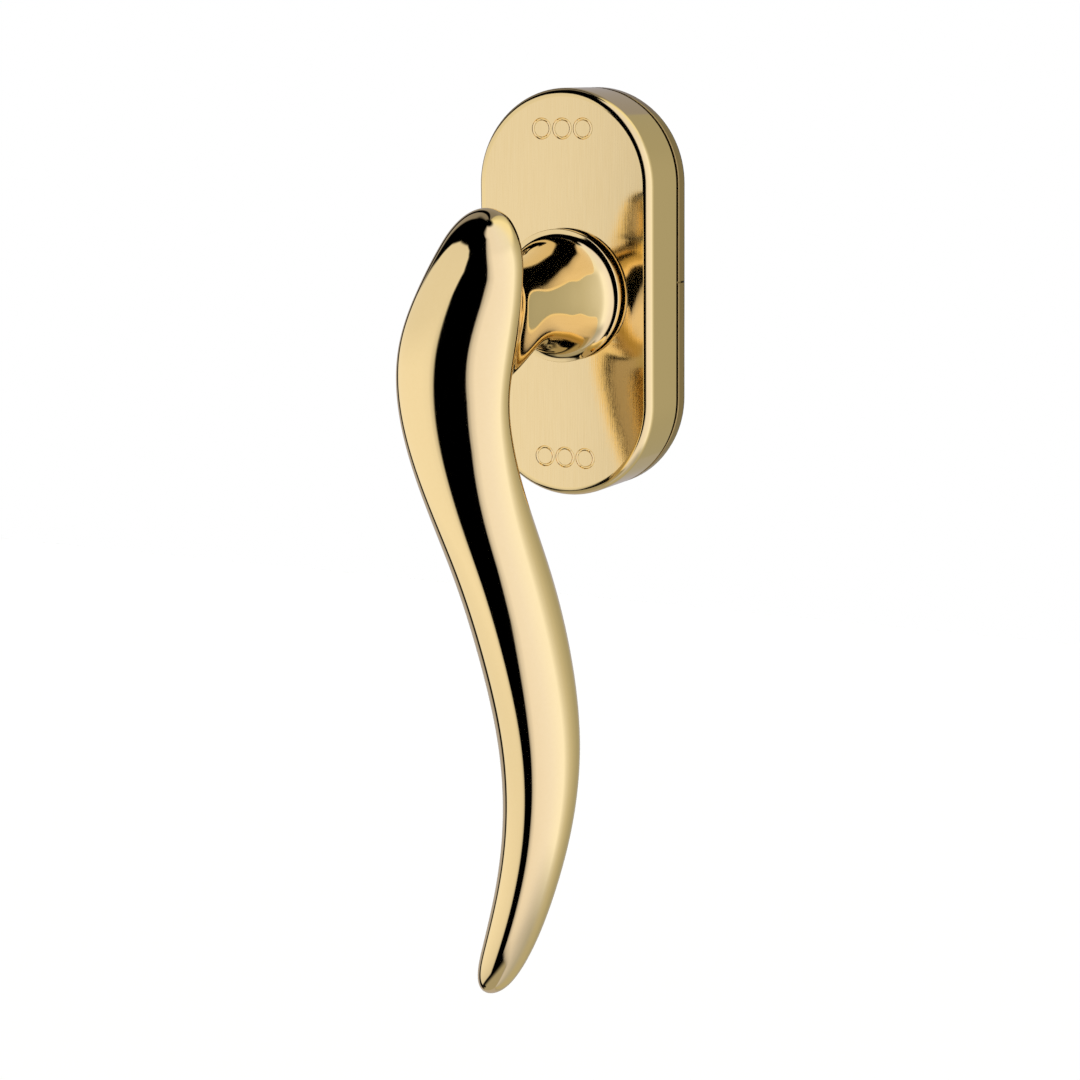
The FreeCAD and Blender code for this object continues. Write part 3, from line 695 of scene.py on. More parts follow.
@dataclass
class LeverHandle:
    """Grip, neck and bell foot as one flowing casting, with the journal behind it."""

    # Grip: height, sway to the right, depth of the middle, half width of the level section
    grip: Stations = (
        (-114.05, 2.5, 48.6, 0.0), (-113.3, 2.8, 48.6, 1.8), (-111.0, 3.7, 48.6, 3.2),
        (-106.0, 5.7, 48.6, 4.2), (-96.0, 9.05, 48.6, 4.95), (-84.0, 11.65, 48.6, 5.7),
        (-70.0, 12.2, 48.6, 6.65), (-56.0, 9.96, 48.6, 7.45), (-42.0, 5.8, 48.7, 8.05),
        (-28.0, 0.48, 49.0, 8.74), (-20.0, -1.73, 49.1, 9.16), (-12.0, -2.58, 49.1, 9.47),
        (-5.0, -1.94, 48.95, 9.46), (1.0, -0.42, 48.5, 8.99), (6.0, 0.98, 47.75, 8.11),
        (10.0, 1.61, 46.8, 6.91), (13.5, 1.67, 45.55, 5.05), (15.6, 1.59, 44.6, 2.87),
        (16.44, 1.53, 44.25, 0.0),
    )
    # The head is leaf-shaped: thickness as a share of width, by height
    leaf: Stations = (
        (-119.0, 1.0), (-70.0, 1.0), (-44.0, 0.97), (-34.0, 0.86), (-24.0, 0.7),
        (-14.0, 0.6), (-4.0, 0.57), (4.0, 0.6), (10.0, 0.7), (16.5, 0.85),
    )
    # Degrees that the leaf turns about the upright
    leaf_turn: float = 8.0
    # Bell and throat: depth in front of the rim, half width
    bell: Stations = (
        (-0.1, 11.55), (0.0, 11.4), (0.12, 10.95), (0.3, 10.5), (0.65, 10.08), (1.1, 9.76),
        (1.85, 9.38), (2.65, 9.08), (3.65, 8.76), (5.0, 8.38), (6.2, 8.1), (7.9, 7.78),
        (10.0, 7.45), (12.1, 7.22), (15.0, 7.05), (18.0, 7.0), (21.0, 7.0), (33.0, 7.0),
    )
    # Throat below its middle: width as a share of height, by depth in front of the rim
    under: Stations = (
        (-2.0, 1.0), (8.0, 1.0), (12.3, 0.93), (16.1, 0.79), (20.0, 0.64), (26.0, 0.54),
        (34.0, 0.5),
    )
    rim_front: float = 16.4
    hub_back: float = 15.4
    hub_edge: float = 0.1
    collar_back: float = 14.9
    rim_radius: float = 11.4
    rim_round: float = 0.18
    collar_radius: float = 10.4
    neck_end: float = 47.5
    end_round: float = 5.0
    blend: float = 5.5
    # Skin: size of a quad, corners of the space searched, and where the foot begins
    quad: float = 0.36
    low: tuple[float, float, float] = (-13.5, -60.0, -115.5)
    high: tuple[float, float, float] = (20.0, -16.1, 18.0)
    foot_start: float = 0.3
    break_angle: float = 30.0
    # Journal: depth and radius of each step behind the collar
    journal: Stations = (
        (14.9, 8.0), (9.7, 8.0), (9.7, 7.4), (7.7, 7.4), (7.7, 6.5), (0.5, 6.5), (0.3, 6.3),
    )
    socket: float = 3.55
    socket_floor: float = 21.6

    def __post_init__(self) -> None:
        """Sets up the smooth curves of the grip and the bell."""
        stations = np.array(self.grip)
        heights = stations[:, 0]
        self.sway = SmoothCurve(heights, stations[:, 1])
        self.depth = SmoothCurve(heights, stations[:, 2])
        self.girth = SmoothCurve(heights, stations[:, 3] ** 2)
        self.thin = SmoothCurve(*np.array(self.leaf).T)
        self.flank = SmoothCurve(*np.array(self.bell).T)
        self.droop = SmoothCurve(*np.array(self.under).T)

    def grip_field(self, points: Array) -> Array:
        """Signed distance to the grip, near its surface.

        Args:
            points: Rows of x, y, z in millimetres.

        Returns:
            One distance for each row, negative inside.
        """
        x, y, z = points.T
        middle, lean_x = self.sway.at(z)
        depth, lean_y = self.depth.at(z)
        girth, change = self.girth.at(z)
        thin, thinning = self.thin.at(z)
        turn = math.radians(self.leaf_turn)
        dx, dy = x - middle, y + depth
        across = dx * math.cos(turn) + dy * math.sin(turn)
        through = dx * math.sin(turn) - dy * math.cos(turn)
        flat = through / thin**2
        gx = across * math.cos(turn) + flat * math.sin(turn)
        gy = across * math.sin(turn) - flat * math.cos(turn)
        gz = -gx * lean_x + gy * lean_y - change / 2 - flat * through * thinning / thin
        size = np.sqrt(gx * gx + gy * gy + gz * gz)
        return (across**2 + flat * through - girth) / (2 * np.maximum(size, 0.05))

    def neck_field(self, points: Array) -> Array:
        """Signed distance to the bell and throat, near their surface.

        Args:
            points: Rows of x, y, z in millimetres.

        Returns:
            One distance for each row, negative inside.
        """
        x, y, z = points.T
        ahead = -y - self.rim_front
        radius, lean = self.flank.at(ahead)
        height = np.where(z < 0, z * self.droop.at(ahead)[0], z)
        side = (np.hypot(x, height) - radius) / np.sqrt(1 + lean * lean)
        end = -y - self.neck_end
        near = np.maximum(self.end_round - np.abs(side - end), 0) / self.end_round
        return np.maximum(side, end) + near**3 * self.end_round / 6

    def field(self, points: Array) -> Array:
        """Signed distance to grip and neck with a soft fillet between them.

        Args:
            points: Rows of x, y, z in millimetres.

        Returns:
            One distance for each row, negative inside.
        """
        a, b = self.grip_field(points), self.neck_field(points)
        near = np.maximum(self.blend - np.abs(a - b), 0) / self.blend
        return np.minimum(a, b) - near**3 * self.blend / 6

    def build(self) -> Object:
        """Builds the lever's mesh.

        Returns:
            The lever, without material.
        """
        cut = self.rim_front + self.foot_start
        points, faces = skin(self.field, self.low, self.high, self.quad)
        mesh = bpy.data.meshes.new("lever")
        mesh.from_pydata((points * MM).tolist(), [], faces.tolist())
        shape = bmesh.new()
        shape.from_mesh(mesh)
        bmesh.ops.bisect_plane(
            shape, geom=shape.verts[:] + shape.edges[:] + shape.faces[:],
            plane_co=(0, -cut * MM, 0), plane_no=(0, 1, 0), clear_outer=True,
        )
        bmesh.ops.remove_doubles(shape, verts=shape.verts, dist=HAIR * MM)
        self.add_foot(shape, cut)
        soften(shape, self.break_angle)
        shape.to_mesh(mesh)
        shape.free()
        self.set_true_normals(mesh, cut)
        return new_object("lever", mesh)

    def add_foot(self, shape: BMesh, cut: float) -> None:
        """Draws the open edge down over the rim, the collar and the journal.

        Args:
            shape: The lever, open at the cut.
            cut: Depth of the open edge.
        """
        edge = {vert for e in shape.edges if e.is_boundary for vert in e.verts}
        ring = sorted(edge, key=lambda vert: math.atan2(vert.co.z, vert.co.x))
        turns = [math.atan2(vert.co.z, vert.co.x) for vert in ring]
        away = np.stack([np.cos(turns), np.sin(turns)], -1)
        start = away * self.flank.at(np.array(cut - self.rim_front))[0]
        for vert, (x, z) in zip(ring, start):
            vert.co = Vector((x, -cut, z)) * MM
        square = away * (self.socket / np.abs(away).max(1))[:, None]
        for corner in ((1, 1), (-1, 1), (-1, -1), (1, -1)):
            square[np.argmax(away @ corner)] = np.array(corner) * self.socket
        outlines = [(depth, away * radius) for depth, radius in self.foot_profile(cut)]
        outlines += [(self.journal[-1][0], square), (self.socket_floor, square)]
        rings = [ring]
        for depth, outline in outlines:
            rings.append([shape.verts.new(Vector((x, -depth, z)) * MM) for x, z in outline])
        join_rings(shape, rings)
        shape.faces.new(rings[-1])

    def foot_profile(self, cut: float) -> list[tuple[float, float]]:
        """Steps of the foot from the cut back to the journal's end.

        Args:
            cut: Depth of the open edge.

        Returns:
            Depth and radius of each ring.
        """
        steps = []
        for share in (0.8, 0.6, 0.4, 0.2, 0.08):
            ahead = share * (cut - self.rim_front)
            steps.append((self.rim_front + ahead, float(self.flank.at(np.array(ahead))[0])))
        for i in range(5):
            turn = math.radians(22.5 * i)
            out = self.rim_radius - self.rim_round * (1 - math.sin(turn))
            steps.append((self.rim_front - self.rim_round * (1 - math.cos(turn)), out))
        return steps + [
            (self.hub_back + self.hub_edge, self.rim_radius),
            (self.hub_back, self.rim_radius - self.hub_edge),
            (self.hub_back, self.collar_radius),
            (self.collar_back, self.collar_radius),
            *self.journal,
        ]

    def set_true_normals(self, mesh: Mesh, cut: float) -> None:
        """Gives the sculpted part the exact normals of its surface.

        Args:
            mesh: The finished lever.
            cut: Depth from which the exact normals hold.
        """
        points = np.zeros(len(mesh.vertices) * 3)
        mesh.vertices.foreach_get("co", points)
        points = points.reshape(-1, 3) / MM
        normals = steepest(self.field, points)
        normals /= np.maximum(np.linalg.norm(normals, axis=1), 1e-9)[:, None]
        normals[-points[:, 1] < cut - HAIR] = 0
        corner = np.zeros(len(mesh.loops), int)
        mesh.loops.foreach_get("vertex_index", corner)
        mesh.normals_split_custom_set(normals[corner].tolist())

    def dress(self, piece: Object, finish: Material) -> None:
        """Gives the lever its finish and its place in the frame.

        Args:
            piece: The lever.
            finish: Its metal.
        """
        piece.data.materials.append(finish)
        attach(piece, "lever")
        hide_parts("lever_handle")


@dataclass
class CoverPlate:
    """Pressed face and wall in one, with three engraved rings at either end."""

    width: float = 33.0
    height: float = 70.0
    back: float = 3.8
    front: float = 14.4
    wall: float = 1.2
    face: float = 1.5
    edge_radius: float = 1.5
    edge_steps: int = 14
    hole: float = 8.9
    lip: float = 0.15
    ring_count: int = 3
    ring_pitch: float = 3.9
    ring_radius: float = 1.6
    ring_line: float = 0.24
    ring_from_end: float = 6.8

    def rings(self) -> list[Array]:
        """Rings from the wall's foot over the face, through the hole and back inside.

        Returns:
            The points of each ring, in millimetres.
        """
        size = (self.width, self.height)
        inner = long_hole(*size, self.wall)
        floor = self.front - self.face
        hole = (
            (self.hole + self.lip, self.front), (self.hole, self.front - self.lip),
            (self.hole, floor),
        )
        return [
            at_depth(long_hole(*size, self.lip), self.back),
            at_depth(long_hole(*size, 0.0), self.back + self.lip),
            *rolled_edge(size, self.edge_radius, self.front, -1, self.edge_steps),
            *(at_depth(circle_like(inner, radius), depth) for radius, depth in hole),
            at_depth(inner, floor),
            at_depth(inner, self.back),
        ]

    def ring_tree(self) -> GeometryNodeTree:
        """Geometry nodes that engrave a row of rings at either end of the face.

        Returns:
            The node tree, with its sizes as inputs.
        """
        tree, given = node_tool(
            "engraved press rings", ("Pitch", "Radius", "Line", "Height", "Depth"), Count="Int"
        )
        circle = "GeometryNodeCurvePrimitiveCircle"
        path = add_node(tree, circle, {"Resolution": 64, "Radius": given["Radius"]})
        line = add_node(tree, circle, {"Resolution": 10, "Radius": given["Line"]})
        tube = add_node(tree, "GeometryNodeCurveToMesh", {"Curve": path, "Profile Curve": line})
        less = calculate(tree, "SUBTRACT", given["Count"], 1.0)
        span = calculate(tree, "MULTIPLY", less, given["Pitch"])
        left = calculate(tree, "MULTIPLY", span, -0.5)
        step = add_node(tree, "ShaderNodeCombineXYZ", {"X": given["Pitch"]})
        both = add_node(tree, "GeometryNodeJoinGeometry")
        for sign in (1.0, -1.0):
            start = add_node(tree, "ShaderNodeCombineXYZ", {
                "X": left, "Y": given["Depth"],
                "Z": calculate(tree, "MULTIPLY", given["Height"], sign),
            })
            row = add_node(tree, "GeometryNodeMeshLine", {
                "Count": given["Count"], "Start Location": start, "Offset": step,
            })
            tree.links.new(row.outputs[0], both.inputs[0])
        placed = add_node(tree, "GeometryNodeInstanceOnPoints", {
            "Points": both, "Instance": tube, "Rotation": (math.pi / 2, 0, 0),
        })
        real = add_node(tree, "GeometryNodeRealizeInstances", {"Geometry": placed})
        cut = add_node(
            tree, "GeometryNodeMeshBoolean", {"Mesh 1": given["Piece"], "Mesh 2": real},
            operation="DIFFERENCE", solver="EXACT",
        )
        add_node(tree, "NodeGroupOutput", {"Piece": cut})
        return tree

    def build(self) -> Object:
        """Builds the cover with its engraved rings.

        Returns:
            The cover, without material.
        """
        piece = new_object("cover", ring_mesh("cover", self.rings()))
        return crisp(worked(piece, self.ring_tree(), {
            "Pitch": self.ring_pitch * MM,
            "Radius": self.ring_radius * MM,
            "Line": self.ring_line * MM,
            "Height": (self.height / 2 - self.ring_from_end) * MM,
            "Depth": -self.front * MM,
            "Count": self.ring_count,
        }))

    def dress(self, piece: Object, face: Material, wall: Material) -> None:
        """Brushes the flat face, buffs the wall and sets the cover in the frame.

        Args:
            piece: The cover.
            face: Finish of the flat front.
            wall: Finish of all the rest.
        """
        mesh = piece.data
        mesh.materials.clear()
        mesh.materials.append(wall)
        mesh.materials.append(face)
        for polygon in mesh.polygons:
            flat = polygon.normal.y < -0.999 and polygon.center.y < -(self.front - HAIR) * MM
            polygon.material_index = int(flat)
        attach(piece, "plate")
        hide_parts("cover_plate")


@dataclass
class BaseFrame:
    """Cast base: the narrow band behind the cover, with a fine slit at either side."""

    width: float = 33.0
    height: float = 70.0
    back: float = 0.5
    front: float = 2.8
    edge: float = 0.22
    edge_steps: int = 3
    recess: float = 8.2
    screw_spacing: float = 43.0
    screw_hole: float = 2.75
    peg_seat: float = 4.83
    peg_seat_depth: float = 1.1
    slit_height: float = 1.7
    slit_width: float = 0.3
    slit_depth: float = 0.45
    # Depths between which the screws' holes and the slits are cut, past the base
    hole_run: tuple[float, float] = (0.0, 4.0)
    slit_run: tuple[float, float] = (-0.2, 3.5)

    def build(self) -> Object:
        """Builds the base with its holes and slits.

        Returns:
            The base, without material.
        """
        size = (self.width, self.height)
        opening = circle_like(long_hole(*size, 0.0), self.recess)
        piece = new_object("base", ring_mesh("base", [
            at_depth(opening, self.back),
            *rolled_edge(size, self.edge, self.back, 1, self.edge_steps)[::-1],
            *rolled_edge(size, self.edge, self.front, -1, self.edge_steps),
            at_depth(opening, self.front),
        ]))
        spots = (self.screw_spacing / 2, -self.screw_spacing / 2)
        holes = [(0, z, self.screw_hole, *self.hole_run) for z in spots]
        seats = [(0, z, self.peg_seat, 0.0, self.back + self.peg_seat_depth) for z in spots]
        low, high = self.slit_height - self.slit_width / 2, self.slit_height + self.slit_width / 2
        back, front = self.slit_run
        near, far = self.width / 2 - self.slit_depth, self.width / 2 + 1
        slits = [(near, -front, low, far, -back, high), (-far, -front, low, -near, -back, high)]
        cut_away(piece, cutters("holes", holes, slits))
        cut_away(piece, cutters("seats", seats))
        return crisp(piece)

    def dress(self, piece: Object, finish: Material) -> None:
        """Gives the base its finish and its place in the frame.

        Args:
            piece: The base.
            finish: Its metal.
        """
        piece.data.materials.clear()
        piece.data.materials.append(finish)
        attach(piece, "base")
        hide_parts("base_frame")


@dataclass
class FixingScrews:
    """Two captive machine screws with cut threads beyond the pegs."""

    spacing: float = 43.0
    reach: float = 25.0
    thread_start: float = 3.2
    radius: float = 2.5
    root: float = 2.08
    pitch: float = 0.8
    shank: float = 2.1
    head_radius: float = 4.55
    head_top: float = 4.1
    head_edge: float = 0.08
    head_land: tuple[float, float] = (0.1, 0.15)
    facets: int = 40
    tip: float = 1.6
    tip_length: float = 0.5
    # Thread ridge: how deep it sinks into the root, and how far it stays from both ends
    sink: float = 0.02
    lead: float = 0.5
    run_out: float = 1.2
    # Cross slot: half length, half width and depth, and how far its cutter stands out
    slot_arm: float = 2.5
    slot_half: float = 0.5
    slot_depth: float = 1.6
    slot_clear: float = 0.5

    def profile(self) -> list[tuple[float, float]]:
        """Turned shape of a screw from the tip to the head.

        Returns:
            Radius and y of each ring.
        """
        top = -self.head_top
        taper, land = self.head_land
        return [
            (0.0, self.reach), (self.tip, self.reach), (self.root, self.reach - self.tip_length),
            (self.root, self.thread_start), (self.shank, self.thread_start),
            (self.shank, top + self.head_radius - self.shank),
            (self.head_radius - taper, top + land), (self.head_radius, top + self.head_edge),
            (self.head_radius - self.head_edge, top), (0.0, top),
        ]

    def thread_tree(self) -> GeometryNodeTree:
        """Geometry nodes that wind one thread ridge and set it on both screws.

        Returns:
            The node tree, with its sizes as inputs.
        """
        tree, given = node_tool(
            "screw threads", ("Root", "Ridge", "Length", "Start", "Spacing", "Turns"),
            Finish="Material",
        )
        winding = add_node(tree, "GeometryNodeCurveSpiral", {
            "Resolution": 28, "Rotations": given["Turns"], "Start Radius": given["Root"],
            "End Radius": given["Root"], "Height": given["Length"],
        })
        ridge = add_node(tree, "GeometryNodeCurvePrimitiveCircle", {
            "Resolution": 4, "Radius": given["Ridge"],
        })
        thread = add_node(tree, "GeometryNodeCurveToMesh", {
            "Curve": winding, "Profile Curve": ridge, "Fill Caps": True,
        })
        start = add_node(tree, "ShaderNodeCombineXYZ", {
            "Y": given["Start"], "Z": calculate(tree, "MULTIPLY", given["Spacing"], -0.5),
        })
        step = add_node(tree, "ShaderNodeCombineXYZ", {"Z": given["Spacing"]})
        pair = add_node(tree, "GeometryNodeMeshLine", {
            "Count": 2, "Start Location": start, "Offset": step,
        })
        placed = add_node(tree, "GeometryNodeInstanceOnPoints", {
            "Points": pair, "Instance": thread, "Rotation": (-math.pi / 2, 0, 0),
        })
        joined = add_node(tree, "GeometryNodeJoinGeometry")
        for part in (given["Piece"], placed.outputs[0]):
            tree.links.new(part, joined.inputs[0])
        real = add_node(tree, "GeometryNodeRealizeInstances", {"Geometry": joined})
        dressed = add_node(tree, "GeometryNodeSetMaterial", {
            "Geometry": real, "Material": given["Finish"],
        })
        add_node(tree, "NodeGroupOutput", {"Piece": dressed})
        return tree

    def build(self) -> Object:
        """Builds both screws without their threads.

        Returns:
            The pair as one piece, without material.
        """
        shape = bmesh.new()
        spots = (self.spacing / 2, -self.spacing / 2)
        turns = [2 * math.pi * i / self.facets for i in range(self.facets)]
        for z in spots:
            rings = []
            for radius, y in self.profile():
                ring = [(radius * math.cos(t), y, z + radius * math.sin(t)) for t in turns]
                ring = ring if radius else ring[:1]
                rings.append([shape.verts.new(Vector(point) * MM) for point in ring])
            join_rings(shape, rings)
        piece = made_of(shape, "screws")
        arm, half, top = self.slot_arm, self.slot_half, -self.head_top
        for x, rise in ((arm, half), (half, arm)):
            cut_away(piece, cutters("slots", [], [
                (-x, top - self.slot_clear, z - rise, x, top + self.slot_depth, z + rise)
                for z in spots
            ]))
        return crisp(piece)

    def dress(self, piece: Object, finish: Material) -> None:
        """Winds the threads on, all in one metal, and sets the screws in the frame.

        Args:
            piece: The pair of screws.
            finish: Their metal.
        """
        length = self.reach - self.run_out - self.thread_start
        worked(piece, self.thread_tree(), {
            "Root": (self.root - self.sink) * MM,
            "Ridge": (self.radius - self.root) * MM,
            "Length": length * MM,
            "Start": (self.thread_start + self.lead) * MM,
            "Spacing": self.spacing * MM,
            "Turns": length / self.pitch,
            "Finish": finish,
        })
        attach(piece, "base")
        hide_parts("fixing_screws")


@dataclass
class SquareSpindle:
    """Drawn square bar with softened corners and a chamfered end."""

    side: float = 7.0
    reach: float = 24.0
    inner_end: float = 21.4
    chamfer: float = 0.6
    corner: float = 0.25
    corner_steps: int = 3
    break_angle: float = 50.0

    def build(self) -> Object:
        """Builds the bar.

        Returns:
            The spindle, without material.
        """
        half = self.side / 2
        shape = bmesh.new()
        rings = []
        for size, y in (
            (half - self.chamfer, self.reach), (half, self.reach - self.chamfer),
            (half, -self.inner_end),
        ):
            corners = ((size, size), (-size, size), (-size, -size), (size, -size))
            rings.append([shape.verts.new(Vector((x, y, z)) * MM) for x, z in corners])
        join_rings(shape, rings)
        shape.faces.new(rings[0])
        shape.faces.new(rings[-1])
        piece = made_of(shape, "spindle")
        rounding = piece.modifiers.new("soft corners", "BEVEL")
        rounding.width = self.corner * MM
        rounding.segments = self.corner_steps
        return crisp(baked(piece), self.break_angle)

    def dress(self, piece: Object, finish: Material) -> None:
        """Gives the spindle its finish and its place in the frame.

        Args:
            piece: The spindle.
            finish: Its metal.
        """
        piece.data.materials.append(finish)
        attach(piece, "lever")
        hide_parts("square_spindle")


class InnerWorks:
    """Construction nodes that keep their shape and get their real materials."""

    FINISHES: ClassVar[dict[Finish, tuple[str, ...]]] = {
        SOFT_PAD: ("backing_pad",),
        CAST_ZINC: ("mechanism_housing",),
        BLACK_NYLON: ("locating_pegs", "cover_carrier"),
        WHITE_ACETAL: ("bearing_bush", "thrust_washer"),
        PLATED_STEEL: (
            "housing_rivets", "detent_disc", "lock_bolt", "pivot_pins", "spindle_pin",
        ),
        SPRING_STEEL: (
            "spring_washer", "retaining_ring", "detent_spring_upper", "detent_spring_lower",
            "bolt_spring_right", "bolt_spring_left", "plate_springs_upper",
            "plate_springs_lower",
        ),
        BEARING_STEEL: ("detent_ball_upper", "detent_ball_lower"),
    }

    def dress(self, nodes: dict[str, Object]) -> None:
        """Gives each construction node its material.

        Args:
            nodes: The construction's objects by name.
        """
        for finish, names in self.FINISHES.items():
            material = finish.material()
            for name in names:
                mesh = nodes[name].data
                mesh.materials.clear()
                mesh.materials.append(material)
                LOG.info("%s wears %s", name, finish.name)


def eased(value: Array, start: float | Array, end: float | Array) -> Array:
    """Rises softly from 0 at the start to 1 at the end."""
    share = np.clip((value - start) / (np.asarray(end) - start), 0, 1)
    return share * share * (3 - 2 * share)


def along(value: Array, *stops: tuple[float, float]) -> Array:
    """Reads a level from straight runs between given stops."""
    places, levels = np.array(stops).T
    return np.interp(value, places, levels)


@dataclass
class LightTent:
    """Softboxes, black cloth and tan side walls as one glowing shell round the handle.

    Directions are in degrees: the bearing turns from the user's side towards the right,
    the rise is upwards. Metal mirrors the shell. The camera and matt surfaces don't see it.
    """

    middle: tuple[float, float, float] = (0.0, -40.0, -45.0)
    radius: float = 1000.0
    step: float = 1.25
    # Middle of the black seam on the left: bearing and rise
    seam: tuple[float, float] = (-96.0, -24.0)

    def left_softbox(self, bearing: Array, rise: Array) -> tuple[Array, Array]:
        """Tall softbox on the left.

        Args:
            bearing: Degrees from the user's side to the right.
            rise: Degrees upwards.

        Returns:
            Its cover, from 0 to 1, and its linear colour.
        """
        edge = along(
            rise, (-60, -33), (-45, -30), (-38, -25), (-28, -21), (0, -21), (12, -20),
            (20, -14), (32, -14), (40, -18), (46, -28),
        )
        outer = self.seam[0] - (rise - self.seam[1]) * 0.45
        cover = eased(edge - bearing, -1.0, 1.2) * eased(bearing, outer, outer + 2)
        top = along(bearing, (-110, 14), (-90, 24), (-74, 38), (-55, 46))
        cover = cover * eased(top - rise, -1.0, 2.0) * eased(rise, -47.0, -44.0)
        level = along(
            rise, (-45, 0.66), (-30, 0.80), (-15, 0.93), (0, 0.91), (12, 0.80), (45, 0.76)
        )
        inside = along(edge - bearing, (0, 0.62), (3, 0.76), (6.5, 0.96), (16, 1.0))
        weight = 1 - np.clip(rise / 15, 0, 1)
        level = level * (1 - (1 - inside) * weight)
        return cover, level[:, None] * np.array([1.03, 1.0, 0.985])

    def right_softbox(self, bearing: Array, rise: Array) -> tuple[Array, Array]:
        """Wide softbox on the right, down to its tan skirt.

        Args:
            bearing: Degrees from the user's side to the right.
            rise: Degrees upwards.

        Returns:
            Its cover, from 0 to 1, and its linear colour.
        """
        edge = along(
            rise, (-62, 40), (-52, 14), (-44, -1), (-30, 1), (-20, 7), (0, 22), (10, 25),
            (20, 24), (60, 18), (72, 0),
        )
        level = along(
            bearing, (0, 0.84), (20, 0.90), (60, 0.97), (90, 1.06), (100, 1.08), (112, 0.80),
            (125, 0.62), (140, 0.50), (160, 0.40), (180, 0.38),
        )
        above = along(bearing, (0, 0.84), (60, 0.90), (120, 0.95), (150, 0.95), (180, 0.50))
        below = along(bearing, (0, 0.75), (30, 0.74), (60, 0.60), (100, 0.47), (180, 0.46))
        level = level + (above - level) * eased(rise, 30, 44)
        level = level + (below - level) * eased(-rise, 36, 54)
        level = level * along(bearing - edge, (0, 0.52), (2.5, 0.55), (5, 0.78), (14, 1.0))
        red = along(bearing, (0, 1.03), (100, 0.98), (130, 1.03), (170, 1.05))
        blue = along(bearing, (0, 1.14), (60, 1.18), (100, 1.10), (130, 0.86), (160, 0.76))
        cover = eased(bearing - edge, -0.8, 1.0) * eased(bearing, -40, -20)
        return cover, level[:, None] * np.stack([red, np.ones_like(red), blue], -1)

    def glow(self, bearing: Array, rise: Array) -> Array:
        """Light from each direction.

        Args:
            bearing: Degrees from the user's side to the right.
            rise: Degrees upwards.

        Returns:
            Rows of linear red, green and blue.
        """
        light = eased(-rise, 50, 60)[:, None] * np.array([0.40, 0.38, 0.32])

        def lay(cover: Array, colour: Array) -> None:
            """Lays a colour over the light where its cover says."""
            nonlocal light
            light = light + cover[:, None] * (colour - light)

        wall = along(
            rise, (-60, 0.45), (-30, 0.44), (-5, 0.42), (20, 0.34), (45, 0.28), (60, 0.24),
            (90, 0.2),
        )
        lay(eased(-bearing, 104, 112), wall[:, None] * np.array([1.05, 1.0, 1.05]))
        paper = eased(np.abs(bearing), 158, 172) * eased(-rise, 6, 22)
        lay(paper, np.array([0.42, 0.40, 0.35]))
        seam = np.abs(bearing - self.seam[0] + (rise - self.seam[1]) * 0.62)
        lay((1 - eased(seam, 6.0, 9.0)) * (rise > -60), np.zeros(3))
        lay(*self.left_softbox(bearing, rise))
        lay(*self.right_softbox(bearing, rise))
        crown = eased(rise, 60, 70) * (1 - eased(bearing, -4, 24)) * eased(bearing, -132, -108)
        lay(np.maximum(crown, eased(rise, 79, 85)), np.zeros(3))
        return light

    def build(self) -> Object:
        """Makes the shell, seen by mirror reflections only.

        Returns:
            The shell.
        """
        rises = np.arange(-90 + self.step, 90 - self.step / 2, self.step)
        bearings = np.arange(-180, 180, self.step)
        rise, bearing = (a.ravel() for a in np.meshgrid(rises, bearings, indexing="ij"))
        rise = np.concatenate([rise, [-90.0, 90.0]])
        bearing = np.concatenate([bearing, [0.0, 90.0]])
        turn, lift = np.radians(bearing), np.radians(rise)
        out = np.stack(
            [np.sin(turn) * np.cos(lift), -np.cos(turn) * np.cos(lift), np.sin(lift)], -1
        )
        points = (np.array(self.middle) + out * self.radius) * MM
        rows, count = len(rises), len(bearings)
        low, high, top = rows * count, rows * count + 1, (rows - 1) * count
        steps = [(k, (k + 1) % count) for k in range(count)]
        faces = [
            (i + k, i + count + k, i + count + m, i + m)
            for i in range(0, top, count)
            for k, m in steps
        ]
        faces += [(low, k, m) for k, m in steps]
        faces += [(high, top + m, top + k) for k, m in steps]
        mesh = bpy.data.meshes.new("light tent")
        mesh.from_pydata(points.tolist(), [], faces)
        light = np.concatenate([self.glow(bearing, rise), np.ones((len(bearing), 1))], -1)
        layer = mesh.attributes.new("glow", "FLOAT_COLOR", "POINT")
        layer.data.foreach_set("color", light.ravel())
        tent = new_object("light_tent", mesh)
        material, tree = fresh_material("light tent")
        level = add_node(tree, "ShaderNodeAttribute", attribute_name="glow")
        shine = add_node(tree, "ShaderNodeEmission", {"Color": level, "Strength": 1.0})
        finish_surface(tree, shine)
        material.cycles.emission_sampling = "NONE"
        mesh.materials.append(material)
        tent.visible_camera = False
        tent.visible_diffuse = False
        tent.visible_shadow = False
        return tent


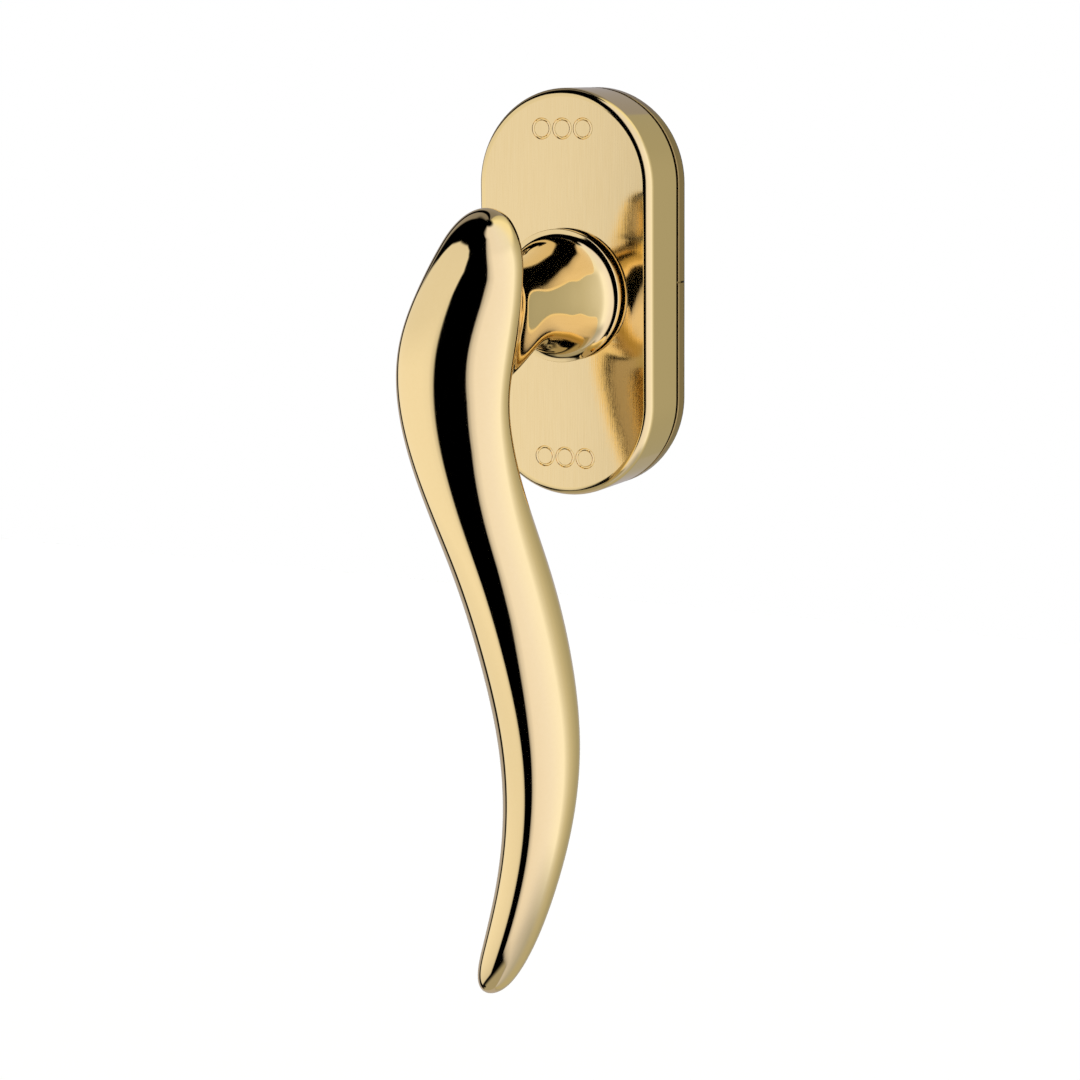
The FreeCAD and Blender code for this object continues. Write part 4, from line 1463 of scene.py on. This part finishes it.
@dataclass
class Studio:
    """White surroundings, the light tent, a pale floor and the camera."""

    floor_drop: float = 1150.0
    floor_size: float = 9000.0
    floor_glow: float = 0.12
    camera_place: tuple[float, float, float] = (186.450, -381.002, 36.559)
    camera_yaw: float = 0.481460
    camera_pitch: float = 0.190716
    camera_roll: float = -0.011046
    lens: float = 79.662
    sensor: float = 36.0
    # Nearest and farthest that the camera sees, in metres
    clip: tuple[float, float] = (0.01, 50.0)

    def set_world(self) -> None:
        """Surrounds the scene with plain white."""
        world = bpy.data.worlds.new("white studio")
        bpy.context.scene.world = world
        world.use_nodes = True
        tree = world.node_tree
        tree.nodes.clear()
        sky = add_node(
            tree, "ShaderNodeBackground", {"Color": linear("FFFFFF"), "Strength": 1.0}
        )
        add_node(tree, "ShaderNodeOutputWorld", {"Surface": sky})
        world.cycles.sampling_method = "NONE"

    def lay_floor(self) -> Object:
        """Lays a plain white floor that still shows a shadow.

        Returns:
            The floor.
        """
        half, level = self.floor_size / 2 * MM, -self.floor_drop * MM
        corners = ((-half, -half), (half, -half), (half, half), (-half, half))
        mesh = bpy.data.meshes.new("floor")
        mesh.from_pydata([(x, y, level) for x, y in corners], [], [(0, 1, 2, 3)])
        floor = new_object("floor", mesh)
        material, tree = fresh_material("matt white floor")
        ray = add_node(tree, "ShaderNodeLightPath").outputs
        seen = calculate(tree, "MAXIMUM", ray["Is Camera Ray"], ray["Is Glossy Ray"])
        seen = calculate(tree, "MAXIMUM", seen, ray["Is Transmission Ray"])
        glow = calculate(tree, "MULTIPLY", seen, self.floor_glow)
        matt = add_node(
            tree, "ShaderNodeBsdfDiffuse", {"Color": linear("F4F4F2"), "Roughness": 0.5}
        )
        light = add_node(
            tree, "ShaderNodeEmission", {"Color": linear("FFFFFF"), "Strength": glow}
        )
        finish_surface(tree, add_node(tree, "ShaderNodeAddShader", {0: matt, 1: light}))
        mesh.materials.append(material)
        return floor

    def set_camera(self) -> Object:
        """Places the camera where the photograph was taken.

        Returns:
            The camera.
        """
        lens = bpy.data.cameras.new("camera")
        lens.sensor_width = self.sensor
        lens.lens = self.lens
        lens.clip_start, lens.clip_end = self.clip
        camera = bpy.data.objects.new("camera", lens)
        bpy.context.scene.collection.objects.link(camera)
        camera.matrix_world = (
            Matrix.Translation(Vector(self.camera_place) * MM)
            @ Matrix.Rotation(self.camera_yaw, 4, "Z")
            @ Matrix.Rotation(math.pi / 2 - self.camera_pitch, 4, "X")
            @ Matrix.Rotation(self.camera_roll, 4, "Z")
        )
        bpy.context.scene.camera = camera
        return camera

    def build(self) -> None:
        """Sets up light, floor and camera."""
        bpy.context.scene.view_settings.view_transform = "Standard"
        self.set_world()
        self.lay_floor()
        tent = LightTent().build()
        LOG.info("light tent: %d faces", len(tent.data.polygons))
        self.set_camera()


def main() -> None:
    """Builds every piece in order and reports it."""
    logging.basicConfig(level=logging.INFO, format="%(name)s: %(message)s")
    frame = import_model()
    polished, buffed, brushed, unbuffed_shaded, plated = (
        finish.material()
        for finish in (POLISHED_BRASS, BUFFED_BRASS, BRUSHED_BRASS, UNBUFFED_SHADED_BRASS, PLATED_STEEL)
    )
    InnerWorks().dress(frame["nodes"])

    for maker, finishes in (
        (LeverHandle(), (polished,)),
        (CoverPlate(), (brushed, buffed)),
        # The base's brass is darkened by painted shade, for the cover's shade that it sits in
        (BaseFrame(), (unbuffed_shaded,)),
        (FixingScrews(), (plated,)),
        (SquareSpindle(), (plated,)),
    ):
        piece = maker.build()
        maker.dress(piece, *finishes)
        LOG.info("%s: %d faces", piece.name, len(piece.data.polygons))

    Studio().build()


if __name__ == "__main__":
    main()
